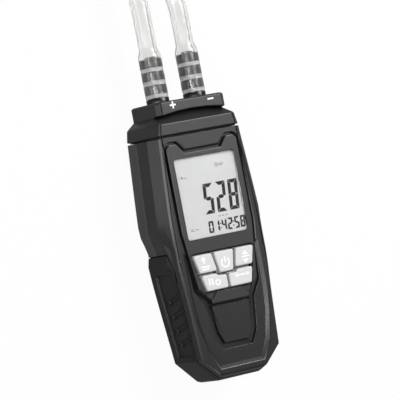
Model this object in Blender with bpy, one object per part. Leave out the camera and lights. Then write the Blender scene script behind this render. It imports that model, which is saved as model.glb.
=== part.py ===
"""Handheld differential pressure meter with two barbed hose ports and its two hoses.

The meter lies on its back. X is its width, +Y points along it towards the hose ports,
+Z points out of the display. Sizes are millimetres and become metres as meshes are made.
Lengths along the body are measured from the seam between the head cap and the housing.
"""
import math

import bmesh
import bpy
from mathutils import Vector

MM = 0.001
FLAT_TURN = 0.01  # a corner that turns less than this is taken as straight

# clearances
GAP = 0.3  # between pieces that rest on or in each other
GROOVE = 0.9  # visible groove round the bezel panel
GROOVE_TOP = 0.5  # how much wider that groove is along the panel's top
SEAM = 1.0  # open groove between head cap and housing

# body: half widths of the side at their distances below the seam
BODY_DEPTH = 34.0
BODY_LENGTH = 137.0
TOP_HALF = 31.3
CHEST_HALF = 34.6
CHEST_Y = 46.0
HIP_Y = 52.0
WAIST_HALF = 31.5
WAIST_Y = 61.5
GRIP_HALF = 32.9
GRIP_Y = 68.5
FOOT_HALF = 27.6
FOOT_RISE = 13.5  # from the body's end up to where the foot starts to round in
FOOT_BEND_HALF = 15.7  # where the foot's corner facet ends
FOOT_BEND_RISE = 0.9
TOE_HALF = 13.2
STATION_STEP = 9.0  # longest straight step along the side curves

# body: the narrower outline of the front face
FRONT_TOP_HALF = 25.8
FRONT_CHEST_HALF = 28.7
FRONT_KNEE_HALF = 27.4
FRONT_KNEE_Y = 92.0
FRONT_FOOT_HALF = 25.8
FRONT_TOE_SETBACK = 3.2
BACK_INSET = 6.4
SIDE_LOW_Z = 8.0
SIDE_HIGH_DROP = 7.0  # from the front face back to where the sides turn in
EDGE = 0.8
LINE_IN = 0.9  # the fine groove beside each front edge, in from that edge
LINE_WIDTH = 0.6
LINE_DEPTH = 0.6
LINE_STEPS = 8

# housing walls
WALL = 2.4
FRONT_WALL = 3.6
SPLIT_DROP = 17.0  # from the front face back to the parting plane, which the ports sit on
END_WALL = 2.2

# head cap
BAND_TOP_Y = 8.2
NECK_Y = 11.7
BLOCK_TOP_Y = 19.8
BLOCK_HALF = 22.6
BLOCK_LOW_Z = 1.7
BLOCK_DROP = 1.7  # block's front below the front face
BLOCK_CORNER = 2.6
BLOCK_COVE = 3.6  # how far the shoulder sinks under the block's front
BLOCK_LIP = 0.6
BLOCK_ROUND = 1.2
BODY_ROUND = 0.7
BLOCK_WALL = 3.0
BLOCK_ARCH = 1.7  # how far the block's front edge arches up in the middle
BLOCK_LINE_X = 20.3  # the fine groove where the block's front meets its rounded corner
BAND_TAPER = 1.2
GASKET_INSET = 1.6
GASKET_WIDTH = 1.6
GASKET_SINK = 1.3

# hose ports
PORT_X = 12.1
PORT_COLLAR_R = 6.4
PORT_COLLAR = 2.5
PORT_STEM_R = 4.2
PORT_BORE_R = 1.9
BARB_COUNT = 3
BARB_PITCH = 7.4
BARB_R = 4.7
BARB_NECK_R = 4.25
BARB_POCKET = 1.7  # open space behind each barb
BARB_ROOT_R = 3.5
STUB_R = 2.4
STUB_LENGTH = 9.0
NUT_R = 5.7
NUT_HEIGHT = 3.0

# hoses
HOSE_R = 5.0
HOSE_BORE_R = 3.2
SLEEVE_R = 6.5
SLEEVE_TAPER = 3.0
HOSE_SIDES = 2
SENSOR_TUBE_R = 3.6
SENSOR_TUBE_WALL = 0.9

# bezel panel and display
BEZEL_HALF = 24.1
BEZEL_TOP_Y = 2.9
BEZEL_TAB_Y = 8.5
BEZEL_TAB_HALF = 11.4
BEZEL_EAR_HALF = 15.8
BEZEL_CORNER = 2.6
BEZEL_ROUND = 1.0
BEZEL_BEND_RISE = 3.8  # above the display opening's lower edge
BEZEL_KEY_HALF = 20.2
BEZEL_KEY_RISE = 1.6  # above the keys' lower edge
BEZEL_FOOT_HALF = 13.3
BEZEL_FOOT_DROP = 8.2  # below the keys' lower edge
BEZEL_THICKNESS = 1.9
BEZEL_PROUD = 0.4
LCD_HALF = 19.8
LCD_TOP_Y = 12.8
LCD_BOTTOM_Y = 57.8
LCD_ROUND = 1.5
WINDOW_THICKNESS = 1.2
WINDOW_SETBACK = 0.3
MODULE_BORDER = 1.2
MODULE_THICKNESS = 4.9

# keys: tray outline under the display, two rows
KEY_DROP = 8.7  # below the display opening
KEY_UPPER_ROW = 10.9
KEY_LOWER_ROW = 9.6
KEY_TOP_HALF = 19.9
KEY_BOTTOM_HALF = 14.7
KEY_GAP = 1.3
POWER_TOP_HALF = 6.6
POWER_BOTTOM_HALF = 4.4
POWER_DROP = 1.4
KEY_PROUD = 1.3
KEY_FLANGE = 1.2
KEY_FLANGE_OUT = 0.45
KEY_TRAVEL = 0.8
KEY_EDGE = 0.5
KEY_ROUND = 1.1
TRAY_GROOVE = 0.7  # open groove round the keys, past their clearance
TRAY_GROOVE_DEPTH = 1.3
TAB_TOP_HALF = 7.2  # raised tab under the keys, between two sunk corners
TAB_FOOT_HALF = 11.3
TAB_HEIGHT = 3.4
TAB_SINK = 0.9
MAT_THICKNESS = 1.2
MAT_BORDER = 1.5

# lower front: sunk field with a tongue in a channel
FIELD_DROP = 8.2  # top edge, below the display opening
FIELD_TOP_HALF = 22.9
FIELD_SHOULDER_RISE = 3.0  # above the front face's knee
FIELD_KNEE_HALF = 21.6
FIELD_KNEE_SHARE = 0.25  # of the way from the panel's foot to the field's bottom
FIELD_FOOT_HALF = 18.4
FIELD_FOOT_SHARE = 0.70
FIELD_TOE_HALF = 13.2
FIELD_BOTTOM_RISE = 8.7
FIELD_DEPTH = 1.4
FIELD_BEVEL = 2.0
CHANNEL_DEPTH = 2.9
CHANNEL_SIDE = 1.5  # how far it stands out beside the panel
CHANNEL_LAP = 0.3  # how far it reaches under the panel's edge
CHANNEL_FOOT = 0.6
TONGUE_TOP_HALF = 13.0
TONGUE_KNEE_HALF = 10.8
TONGUE_KNEE_SHARE = 0.46
TONGUE_TOE_HALF = 8.0
TONGUE_BOTTOM_SHARE = 0.65
CHANNEL_WIDTH = 3.2

# rubber boot round the sides and foot, with finger grooves
BOOT_TOP_Y = 63.0
BOOT_WALL = 2.8
BOOT_LOW_Z = 3.4
BOOT_DROP = 3.6  # boot's front edge below the front face
BOOT_SLANT = 9.5  # how far the boot's top edge drops towards the front
GRIP_SINK = 1.2
GRIP_LOW_Z = 12.0
GRIP_TOP_Y = 73.5
GRIP_BOTTOM_RISE = 16.0
RIB_PITCH = 8.0
RIB_FIRST_Y = 90.0
RIB_RISE = 6.5
RIB_R = 2.2
RIB_DEPTH = 1.1

# electronics
BOARD_THICKNESS = 1.6
BOARD_HALF = 20.0
BOARD_TOP_Y = 12.0
BOARD_OVERHANG = 6.0  # below the keys
SENSOR_HALF = 9.0
SENSOR_LENGTH = 12.0
SENSOR_HEIGHT = 7.0
SENSOR_Y = 18.0
SENSOR_PORT_X = 5.0
SENSOR_PORT_LENGTH = 6.5

# battery bay in the rear shell
CELL_R = 5.25
CELL_LENGTH = 43.5
CELL_NUB = 1.0
CELL_PITCH = 11.3
CELL_COUNT = 3
SPRING_ROOM = 5.0
BAY_BOTTOM_RISE = 20.5
BAY_WALL = 3.0
BAY_LANDING = 8.0
BAY_ROOF = 1.5
COVER_THICKNESS = 1.8
COVER_LEDGE = 1.8
COVER_SCREW_RISE = 4.3  # above the bay
SPRING_R = 3.4
SPRING_TURNS = 3
SPRING_WIRE_R = 0.35
CONTACT_THICKNESS = 0.5

# screws
SCREW_R = 1.4
SCREW_HEAD_R = 2.7
SCREW_HEAD = 1.8
SCREW_BOSS_R = 4.3
SCREW_SINK = 3.0
SCREW_BITE = 9.0
SCREW_TOP = (19.0, 6.8)
SCREW_FOOT_X = 13.5
SCREW_FOOT_RISE = 13.0
COVER_SCREW_BITE = 4.0

FRONT_Z = BODY_DEPTH
SIDE_HIGH_Z = FRONT_Z - SIDE_HIGH_DROP
SPLIT_Z = FRONT_Z - SPLIT_DROP
BLOCK_HIGH_Z = FRONT_Z - BLOCK_DROP
PORT_Z = (BLOCK_LOW_Z + BLOCK_HIGH_Z) / 2
BOOT_HIGH_Z = FRONT_Z - BOOT_DROP
FOOT_Y = BODY_LENGTH - FOOT_RISE
FOOT_BEND_Y = BODY_LENGTH - FOOT_BEND_RISE
GRIP_BOTTOM_Y = BODY_LENGTH - GRIP_BOTTOM_RISE
BEZEL_BEND_Y = LCD_BOTTOM_Y - BEZEL_BEND_RISE
KEY_TOP_Y = LCD_BOTTOM_Y + KEY_DROP
KEY_ROW_Y = KEY_TOP_Y + KEY_UPPER_ROW
KEY_BOTTOM_Y = KEY_ROW_Y + KEY_LOWER_ROW
BEZEL_KEY_Y = KEY_BOTTOM_Y - BEZEL_KEY_RISE
BEZEL_FOOT_Y = KEY_BOTTOM_Y + BEZEL_FOOT_DROP
BOARD_BOTTOM_Y = KEY_BOTTOM_Y + BOARD_OVERHANG
FIELD_TOP_Y = LCD_BOTTOM_Y + FIELD_DROP
FIELD_BOTTOM_Y = BODY_LENGTH - FIELD_BOTTOM_RISE
BAY_BOTTOM_Y = BODY_LENGTH - BAY_BOTTOM_RISE
BAY_TOP_Y = BAY_BOTTOM_Y - CELL_LENGTH - CELL_NUB - CONTACT_THICKNESS - 2 * GAP - SPRING_ROOM
COVER_SCREW_Y = BAY_TOP_Y - COVER_SCREW_RISE
SCREW_FOOT = (SCREW_FOOT_X, BODY_LENGTH - SCREW_FOOT_RISE)
RIB_COUNT = int((GRIP_BOTTOM_Y - RIB_FIRST_Y) / RIB_PITCH) + 1
BEZEL_TOP_Z = FRONT_Z + BEZEL_PROUD
BEZEL_LOW_Z = BEZEL_TOP_Z - BEZEL_THICKNESS
LEDGE_Z = BEZEL_LOW_Z - GAP
WINDOW_TOP_Z = BEZEL_TOP_Z - WINDOW_SETBACK
MODULE_TOP_Z = WINDOW_TOP_Z - WINDOW_THICKNESS - GAP
MODULE_LOW_Z = MODULE_TOP_Z - MODULE_THICKNESS
BOARD_TOP_Z = MODULE_LOW_Z - GAP
BOARD_LOW_Z = BOARD_TOP_Z - BOARD_THICKNESS
MAT_LOW_Z = BOARD_TOP_Z + GAP
MAT_TOP_Z = MAT_LOW_Z + MAT_THICKNESS
KEY_TOP_Z = BEZEL_TOP_Z + KEY_PROUD
KEY_FLANGE_Z = BEZEL_LOW_Z - GAP
KEY_FOOT_Z = MAT_TOP_Z + GAP + KEY_TRAVEL
PORT_TIP_Y = BLOCK_TOP_Y + GAP + PORT_COLLAR + BARB_COUNT * BARB_PITCH + 1.0
SLEEVE_LOW_Y = BLOCK_TOP_Y + GAP + PORT_COLLAR + GAP
SLEEVE_END_Y = PORT_TIP_Y + GAP + SLEEVE_TAPER
ORIGIN_Y = (BODY_LENGTH - PORT_TIP_Y) / 2

FINISHES = {
    "abs_black": ((0.035, 0.035, 0.037), 0.48, 0.0),
    "rubber_black": ((0.022, 0.022, 0.024), 0.70, 0.0),
    "bezel_grey": ((0.050, 0.050, 0.053), 0.42, 0.0),
    "clear_pane": ((0.80, 0.82, 0.80), 0.06, 0.0),
    "display_grey": ((0.68, 0.69, 0.67), 0.30, 0.0),
    "key_grey": ((0.62, 0.62, 0.62), 0.50, 0.0),
    "board_green": ((0.03, 0.16, 0.07), 0.45, 0.0),
    "chip_black": ((0.02, 0.02, 0.02), 0.40, 0.0),
    "nozzle_black": ((0.018, 0.018, 0.019), 0.35, 0.0),
    "hose_clear": ((0.78, 0.79, 0.80), 0.20, 0.0),
    "cell_jacket": ((0.25, 0.25, 0.27), 0.35, 0.6),
    "spring_steel": ((0.60, 0.60, 0.60), 0.28, 1.0),
    "screw_steel": ((0.45, 0.45, 0.46), 0.30, 1.0),
}


def clear_scene():
    for thing in list(bpy.data.objects):
        bpy.data.objects.remove(thing, do_unlink=True)


def finish(name):
    made = bpy.data.materials.get(name)
    if made:
        return made
    colour, roughness, metallic = FINISHES[name]
    made = bpy.data.materials.new(name)
    made.use_nodes = True
    shader = made.node_tree.nodes["Principled BSDF"]
    shader.inputs["Base Color"].default_value = (*colour, 1.0)
    shader.inputs["Roughness"].default_value = roughness
    shader.inputs["Metallic"].default_value = metallic
    return made


def place(x, y, z):
    """A point of the body, in metres from the part's origin."""
    return Vector((x * MM, (y + ORIGIN_Y) * MM, z * MM))


def to_object(name, bm, material, smooth=False):
    bmesh.ops.recalc_face_normals(bm, faces=bm.faces)
    mesh = bpy.data.meshes.new(name)
    bm.to_mesh(mesh)
    bm.free()
    if smooth:
        mesh.shade_smooth()
        mesh.set_sharp_from_angle(angle=math.radians(35))
    made = bpy.data.objects.new(name, mesh)
    bpy.context.scene.collection.objects.link(made)
    if material:
        mesh.materials.append(finish(material))
    return made


def loft(name, rings, material, closed=False, smooth=False):
    """A solid through rings of equally many points, capped unless it closes on itself."""
    bm = bmesh.new()
    rows = [[bm.verts.new(place(*p)) for p in ring] for ring in rings]
    pairs = list(zip(rows, rows[1:]))
    if closed:
        pairs.append((rows[-1], rows[0]))
    for low, high in pairs:
        for i in range(len(low)):
            j = (i + 1) % len(low)
            bm.faces.new((low[i], low[j], high[j], high[i]))
    if not closed:
        bm.faces.new(rows[0])
        bm.faces.new(rows[-1])
    return to_object(name, bm, material, smooth)


def level(outline, z):
    return [(x, y, z) for x, y in outline]


def stack(name, levels, material, smooth=False):
    """A solid through flat outlines at rising heights."""
    return loft(name, [level(outline, z) for z, outline in levels], material, smooth=smooth)


def mirrored(right):
    """A closed outline from its right half, listed from the top down."""
    left = [(-x, y) for x, y in reversed(right) if x > 0]
    return right + left


def offset(outline, distance):
    """The outline moved outwards by a distance, with its corners kept."""
    area = sum(a[0] * b[1] - b[0] * a[1] for a, b in zip(outline, outline[1:] + outline[:1]))
    turn = 1.0 if area > 0 else -1.0
    moved = []
    for before, here, after in zip(outline[-1:] + outline[:-1], outline, outline[1:] + outline[:1]):
        a = Vector((here[0] - before[0], here[1] - before[1])).normalized()
        b = Vector((after[0] - here[0], after[1] - here[1])).normalized()
        normal_a = Vector((a.y, -a.x)) * turn
        normal_b = Vector((b.y, -b.x)) * turn
        spread = normal_a + normal_b
        shift = spread * (2 * distance / spread.length_squared)
        moved.append((here[0] + shift.x, here[1] + shift.y))
    return moved


def rounded(outline, radius, steps=2):
    """The outline with its corners rounded, as far as its edges allow."""
    smooth = []
    for before, here, after in zip(outline[-1:] + outline[:-1], outline, outline[1:] + outline[:1]):
        corner = Vector(here)
        back = Vector(before) - corner
        ahead = Vector(after) - corner
        turn = math.pi - back.angle(ahead)
        if turn < FLAT_TURN:
            smooth.append(here)
            continue
        reach = min(radius * math.tan(turn / 2), 0.45 * back.length, 0.45 * ahead.length)
        start = corner + back.normalized() * reach
        end = corner + ahead.normalized() * reach
        for i in range(steps + 1):
            t = i / steps
            point = start * (1 - t) ** 2 + corner * 2 * t * (1 - t) + end * t * t
            smooth.append((point.x, point.y))
    return smooth


def box(name, low, high, material=None):
    outline = [(low[0], low[1]), (high[0], low[1]), (high[0], high[1]), (low[0], high[1])]
    return stack(name, [(low[2], outline), (high[2], outline)], material)


def ring_at(centre, axis, radius, sides):
    """Points round a centre, square to an axis ('y' or 'z')."""
    points = []
    for i in range(sides):
        a = 2 * math.pi * i / sides
        u, v = radius * math.cos(a), radius * math.sin(a)
        if axis == "y":
            points.append((centre[0] + u, centre[1], centre[2] - v))
        else:
            points.append((centre[0] + u, centre[1] + v, centre[2]))
    return points


def turned(name, profile, x, z_or_y, axis, material, sides=16, bored=True):
    """A turned piece. Its profile lists (radius, distance along the axis), and closes round a bore."""
    rings = []
    for radius, along in profile:
        centre = (x, along, z_or_y) if axis == "y" else (x, z_or_y, along)
        rings.append(ring_at(centre, axis, radius, sides))
    return loft(name, rings, material, closed=bored, smooth=True)


def pipe_rings(points, radius, sides):
    rings = []
    for i, p in enumerate(points):
        before = Vector(points[max(i - 1, 0)])
        after = Vector(points[min(i + 1, len(points) - 1)])
        along = (after - before).normalized()
        across = along.cross(Vector((0, 0, 1)))
        if across.length < 0.1:
            across = along.cross(Vector((0, 1, 0)))
        across.normalize()
        up = across.cross(along)
        ring = []
        for k in range(sides):
            a = 2 * math.pi * k / sides
            ring.append(tuple(Vector(p) + across * radius * math.cos(a) + up * radius * math.sin(a)))
        rings.append(ring)
    return rings


def pipe(name, points, radius, bore, material, sides=10):
    """A tube along points, hollow where it has a bore."""
    outer = pipe_rings(points, radius, sides)
    if not bore:
        return loft(name, outer, material, smooth=True)
    inner = pipe_rings(points, bore, sides)
    return loft(name, outer + inner[::-1], material, closed=True, smooth=True)


def join_parts(name, pieces):
    """Several closed shapes as one object, for use as a cutter."""
    bm = bmesh.new()
    for piece in pieces:
        bm.from_mesh(piece.data)
        bpy.data.objects.remove(piece, do_unlink=True)
    return to_object(name, bm, None)


def apply_boolean(target, tool, operation, self_crossing=False):
    tool.hide_render = True
    tool.display_type = "WIRE"
    modifier = target.modifiers.new(tool.name, "BOOLEAN")
    modifier.operation = operation
    modifier.object = tool
    modifier.solver = "EXACT"
    modifier.use_self = self_crossing


def cut(target, *tools):
    for tool in tools:
        apply_boolean(target, tool, "DIFFERENCE")


def add(target, *tools):
    for tool in tools:
        apply_boolean(target, tool, "UNION")


def slope_at(table, k):
    """Slope of the smooth curve through a table at one of its rows."""
    (y0, a), (y1, b) = table[max(k - 1, 0)], table[min(k + 1, len(table) - 1)]
    return (b - a) / (y1 - y0)


def between(table, y):
    """Value at a distance below the seam, on the smooth curve through rows of (distance, value)."""
    k = 0
    while k < len(table) - 2 and y > table[k + 1][0]:
        k += 1
    (y0, a), (y1, b) = table[k], table[k + 1]
    span = y1 - y0
    t = min(max((y - y0) / span, 0.0), 1.0)
    rise = 3 * t * t - 2 * t ** 3
    leave = (t ** 3 - 2 * t * t + t) * span * slope_at(table, k)
    arrive = (t ** 3 - t * t) * span * slope_at(table, k + 1)
    return a + (b - a) * rise + leave + arrive


def stations_between(rows):
    """Distances along the body that hold the given ones and step evenly between them."""
    rows = sorted(set(rows))
    stations = []
    for y0, y1 in zip(rows, rows[1:]):
        steps = max(1, math.ceil((y1 - y0) / STATION_STEP))
        stations += [y0 + (y1 - y0) * i / steps for i in range(steps)]
    return stations + [rows[-1]]


SIDE_TABLE = [
    (0.0, TOP_HALF),
    (CHEST_Y, CHEST_HALF),
    (HIP_Y, CHEST_HALF - 0.4),
    (WAIST_Y, WAIST_HALF),
    (GRIP_Y, GRIP_HALF),
    (FOOT_Y, FOOT_HALF),
]
FRONT_TABLE = [
    (0.0, FRONT_TOP_HALF),
    (CHEST_Y, FRONT_CHEST_HALF),
    (GRIP_TOP_Y, FRONT_CHEST_HALF),
    (FRONT_KNEE_Y, FRONT_KNEE_HALF),
    (FOOT_Y, FRONT_FOOT_HALF),
]
BODY_STATIONS = stations_between(
    [
        0.0,
        CHEST_Y,
        HIP_Y,
        WAIST_Y,
        BOOT_TOP_Y,
        BOOT_TOP_Y + GAP,
        GRIP_Y,
        GRIP_TOP_Y,
        FRONT_KNEE_Y,
        FOOT_Y,
    ]
)
FOOT_SHARES = (0.08, 0.36, 0.64, 0.9, 1.0)  # points along the foot's corner facet


def slanted(y, drop):
    """A station moved down so that the boot's top edge lies lower by a drop."""
    if y <= HIP_Y or y >= FRONT_KNEE_Y:
        return y
    if y <= BOOT_TOP_Y:
        return y + drop * (y - HIP_Y) / (BOOT_TOP_Y - HIP_Y)
    return y + drop * (FRONT_KNEE_Y - y) / (FRONT_KNEE_Y - BOOT_TOP_Y)


def boot_drop(z):
    """How far the boot's top edge has dropped at a height."""
    return BOOT_SLANT * min(max((z - SIDE_HIGH_Z) / (BOOT_HIGH_Z - SIDE_HIGH_Z), 0.0), 1.0)


def body_right(front=0.0, inset=0.0, boot_inset=0.0, top=0.0, stations=BODY_STATIONS, drop=0.0):
    """Right half of the plan outline, from the side's (front 0) to the front face's (front 1)."""
    right = []
    for station in stations:
        y = slanted(station, drop)
        side = between(SIDE_TABLE, y)
        face = between(FRONT_TABLE, y)
        half = side + (face - side) * front - inset
        shift = boot_inset if station > BOOT_TOP_Y else 0.0
        right.append((half - shift, -max(y, top)))
    pull = inset + boot_inset
    start = right[-1]
    setback = FRONT_TOE_SETBACK * front
    bend = (FOOT_BEND_HALF - 0.45 * pull, -(FOOT_BEND_Y - setback - 0.95 * pull))
    toe = (TOE_HALF - 0.4 * pull, -(BODY_LENGTH - setback - pull))
    for share in FOOT_SHARES:
        right.append(tuple(start[k] + (bend[k] - start[k]) * share for k in (0, 1)))
    return right + [toe]


def body_outline(front=0.0, inset=0.0, boot_inset=0.0, top=0.0, drop=0.0):
    return mirrored(body_right(front, inset, boot_inset, top, drop=drop))


def front_share(z):
    """How far the side has turned in towards the front face at a height."""
    if z <= SIDE_HIGH_Z:
        return 0.15 * max(z - SIDE_LOW_Z, 0.0) / (SIDE_HIGH_Z - SIDE_LOW_Z)
    return 0.15 + 0.85 * (z - SIDE_HIGH_Z) / (FRONT_Z - SIDE_HIGH_Z)


def boot_step():
    return BOOT_WALL + GAP


def front_shell():
    """Front half of the housing, open at the back, with the panel's seat and the sunk lower field."""
    step = boot_step()
    under = BOOT_HIGH_Z - 0.1
    over = BOOT_HIGH_Z + GAP
    outer = [
        (SPLIT_Z, body_outline(front_share(SPLIT_Z), boot_inset=step)),
        (SIDE_HIGH_Z, body_outline(front_share(SIDE_HIGH_Z), boot_inset=step)),
        (under, body_outline(front_share(under), boot_inset=step, drop=boot_drop(under))),
        (over, body_outline(front_share(over), drop=BOOT_SLANT)),
        (FRONT_Z - EDGE, body_outline(front_share(FRONT_Z - EDGE), drop=BOOT_SLANT)),
        (FRONT_Z, body_outline(1.0, inset=EDGE, drop=BOOT_SLANT)),
    ]
    roof = FRONT_Z - FRONT_WALL
    inner = [
        (SPLIT_Z, body_outline(front_share(SPLIT_Z), WALL, step, END_WALL)),
        (SIDE_HIGH_Z, body_outline(front_share(SIDE_HIGH_Z), WALL, step, END_WALL)),
        (roof, body_outline(front_share(roof), WALL, step, END_WALL, boot_drop(roof))),
    ]
    rings = [level(o, z) for z, o in reversed(outer)] + [level(o, z) for z, o in inner]
    shell = loft("front_shell", rings, "abs_black")

    bosses = [
        turned(
            "boss",
            [(SCREW_BOSS_R, SPLIT_Z + GAP / 2), (SCREW_BOSS_R, roof + 1.0)],
            x,
            y,
            "z",
            None,
            bored=False,
        )
        for x, y in screw_places()
    ]
    add(shell, join_parts("front_bosses", bosses))
    seat = stack(
        "panel_seat",
        [(LEDGE_Z, bezel_outline()), (FRONT_Z + 2.0, bezel_outline())],
        None,
    )
    field = stack(
        "sunk_field",
        [
            (FRONT_Z - FIELD_DEPTH, field_outline()),
            (FRONT_Z, offset(field_outline(), FIELD_BEVEL)),
            (FRONT_Z + 2.0, offset(field_outline(), FIELD_BEVEL)),
        ],
        None,
    )
    channel = stack(
        "channel",
        [(FRONT_Z - CHANNEL_DEPTH, channel_outline()), (FRONT_Z + 2.0, channel_outline())],
        None,
    )
    foot_half = TONGUE_TOP_HALF - GAP
    foot_groove = box(
        "foot_groove",
        (-foot_half, -BEZEL_FOOT_Y - CHANNEL_FOOT, FRONT_Z - CHANNEL_DEPTH),
        (foot_half, -BEZEL_FOOT_Y + GROOVE + CHANNEL_LAP, FRONT_Z + 2.0),
    )
    module = lcd_outline(MODULE_BORDER + GAP)
    display_hole = stack("display_hole", [(roof - 1.0, module), (LEDGE_Z + 1.0, module)], None)
    keys = offset(tray_outline(), KEY_FLANGE_OUT + GAP)
    key_hole = stack("key_hole", [(roof - 1.0, keys), (LEDGE_Z + 1.0, keys)], None)
    bores = [
        turned(
            "bore",
            [(SCREW_R + GAP, SPLIT_Z - 1.0), (SCREW_R + GAP, SPLIT_Z + SCREW_BITE + GAP)],
            x,
            y,
            "z",
            None,
            sides=10,
            bored=False,
        )
        for x, y in screw_places()
    ]
    cut(shell, seat, field, channel, foot_groove, display_hole, key_hole)
    cut(shell, tube_passage("front_passage"))
    cut(shell, edge_lines("shell_lines", -1.0, GRIP_Y))
    cut(shell, join_parts("front_bores", bores))
    return shell


def edge_lines(name, start, end):
    """Cutters for the fine groove beside each front edge, between two distances below the seam."""
    pieces = []
    for side in (-1, 1):
        outer, inner = [], []
        for i in range(LINE_STEPS + 1):
            y = start + (end - start) * i / LINE_STEPS
            half = between(FRONT_TABLE, y) - BAND_TAPER * max(-y, 0.0) / BAND_TOP_Y - LINE_IN
            outer.append((side * half, -y))
            inner.append((side * (half - LINE_WIDTH), -y))
        outline = outer + inner[::-1]
        low, high = FRONT_Z - LINE_DEPTH, FRONT_Z + 1.0
        pieces.append(stack("edge_line", [(low, outline), (high, outline)], None))
    return join_parts(name, pieces)


def rear_shell():
    """Rear half of the housing, with the battery bay and the screw bosses."""
    step = boot_step()
    top = SPLIT_Z - GAP
    low = BOOT_LOW_Z - GAP
    outer = [
        (0.0, body_outline(inset=BACK_INSET + EDGE / 2)),
        (EDGE / 2, body_outline(inset=BACK_INSET)),
        (low, body_outline(inset=back_inset(low))),
        (low + 0.5, body_outline(inset=back_inset(low + 0.5), boot_inset=step)),
        (SIDE_LOW_Z, body_outline(boot_inset=step)),
        (top, body_outline(front_share(top), boot_inset=step)),
    ]
    inner = [
        (WALL, body_outline(0.0, WALL + back_inset(WALL), step, END_WALL)),
        (SIDE_LOW_Z + 1.0, body_outline(0.0, WALL, step, END_WALL)),
        (top, body_outline(front_share(top), WALL, step, END_WALL)),
    ]
    rings = [level(o, z) for z, o in outer] + [level(o, z) for z, o in reversed(inner)]
    shell = loft("rear_shell", rings, "abs_black")

    bay_half = bay_inner_half() + BAY_WALL
    bay = box(
        "bay_block",
        (-bay_half, -BAY_BOTTOM_Y - BAY_WALL, WALL - 0.6),
        (bay_half, -BAY_TOP_Y + BAY_LANDING, bay_roof_z() + BAY_ROOF),
    )
    bosses = [
        turned(
            "boss", [(SCREW_BOSS_R, WALL - 0.6), (SCREW_BOSS_R, top)], x, y, "z", None, bored=False
        )
        for x, y in screw_places()
    ]
    add(shell, bay, join_parts("rear_bosses", bosses))
    half = bay_inner_half()
    hollow = box(
        "bay_hollow", (-half, -BAY_BOTTOM_Y, -1.0), (half, -BAY_TOP_Y, bay_roof_z())
    )
    lid = cover_outline(GAP)
    seat = stack("cover_seat", [(-1.0, lid), (COVER_THICKNESS + GAP, lid)], None)
    cover_bore = turned(
        "cover_bore",
        [(SCREW_R + GAP, 0.5), (SCREW_R + GAP, COVER_THICKNESS + COVER_SCREW_BITE + GAP)],
        0.0,
        -COVER_SCREW_Y,
        "z",
        None,
        sides=10,
        bored=False,
    )
    bores = []
    for x, y in screw_places():
        bores.append(
            turned(
                "bore",
                [
                    (SCREW_HEAD_R + GAP, -1.0),
                    (SCREW_HEAD_R + GAP, SCREW_SINK + SCREW_HEAD),
                    (SCREW_R + GAP, SCREW_SINK + SCREW_HEAD),
                    (SCREW_R + GAP, SPLIT_Z + 1.0),
                ],
                x,
                y,
                "z",
                None,
                sides=12,
                bored=False,
            )
        )
    cut(shell, hollow, seat, cover_bore, tube_passage("rear_passage"))
    cut(shell, join_parts("rear_bores", bores))
    return shell


def back_inset(z):
    """How far the rear chamfer stands in from the side at a height."""
    return BACK_INSET * max(SIDE_LOW_Z - z, 0.0) / SIDE_LOW_Z


def screw_places():
    places = []
    for x, y in (SCREW_TOP, SCREW_FOOT):
        places += [(x, -y), (-x, -y)]
    return places


def tube_passage(name):
    """The opening in the housing's end wall that the sensor tubes run through."""
    half = PORT_X + SENSOR_TUBE_R + 1.0
    reach = SENSOR_TUBE_R + 1.6
    return box(name, (-half, -END_WALL - 1.0, PORT_Z - reach), (half, 1.0, PORT_Z + reach))


def bezel_outline(inset=0.0, drop=0.0):
    right = [
        (BEZEL_TAB_HALF, -BEZEL_TAB_Y - drop),
        (BEZEL_EAR_HALF, -BEZEL_TOP_Y - drop),
        (BEZEL_HALF - BEZEL_CORNER, -BEZEL_TOP_Y - drop),
        (BEZEL_HALF, -BEZEL_TOP_Y - BEZEL_CORNER - drop),
        (BEZEL_HALF, -BEZEL_BEND_Y),
        (BEZEL_KEY_HALF, -BEZEL_KEY_Y),
        (BEZEL_FOOT_HALF, -BEZEL_FOOT_Y + 3.0),
        (BEZEL_FOOT_HALF, -BEZEL_FOOT_Y),
    ]
    return rounded(offset(mirrored(right), -inset), BEZEL_ROUND)


def field_outline():
    right = [
        (FIELD_TOP_HALF, -FIELD_TOP_Y),
        (FIELD_TOP_HALF, -FRONT_KNEE_Y + FIELD_SHOULDER_RISE),
        (FIELD_KNEE_HALF, -down_the_field(FIELD_KNEE_SHARE)),
        (FIELD_FOOT_HALF, -down_the_field(FIELD_FOOT_SHARE)),
        (FIELD_TOE_HALF, -FIELD_BOTTOM_Y),
    ]
    return mirrored(right)


def down_the_field(share):
    """Distance below the seam, as a share of the way from the panel's foot to the field's bottom."""
    return BEZEL_FOOT_Y + share * (FIELD_BOTTOM_Y - BEZEL_FOOT_Y)


def bezel_side(y):
    """Half width of the panel's seat at a distance below the seam, beside the keys."""
    share = (y - BEZEL_BEND_Y) / (BEZEL_KEY_Y - BEZEL_BEND_Y)
    return BEZEL_HALF + (BEZEL_KEY_HALF - BEZEL_HALF) * share


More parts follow.
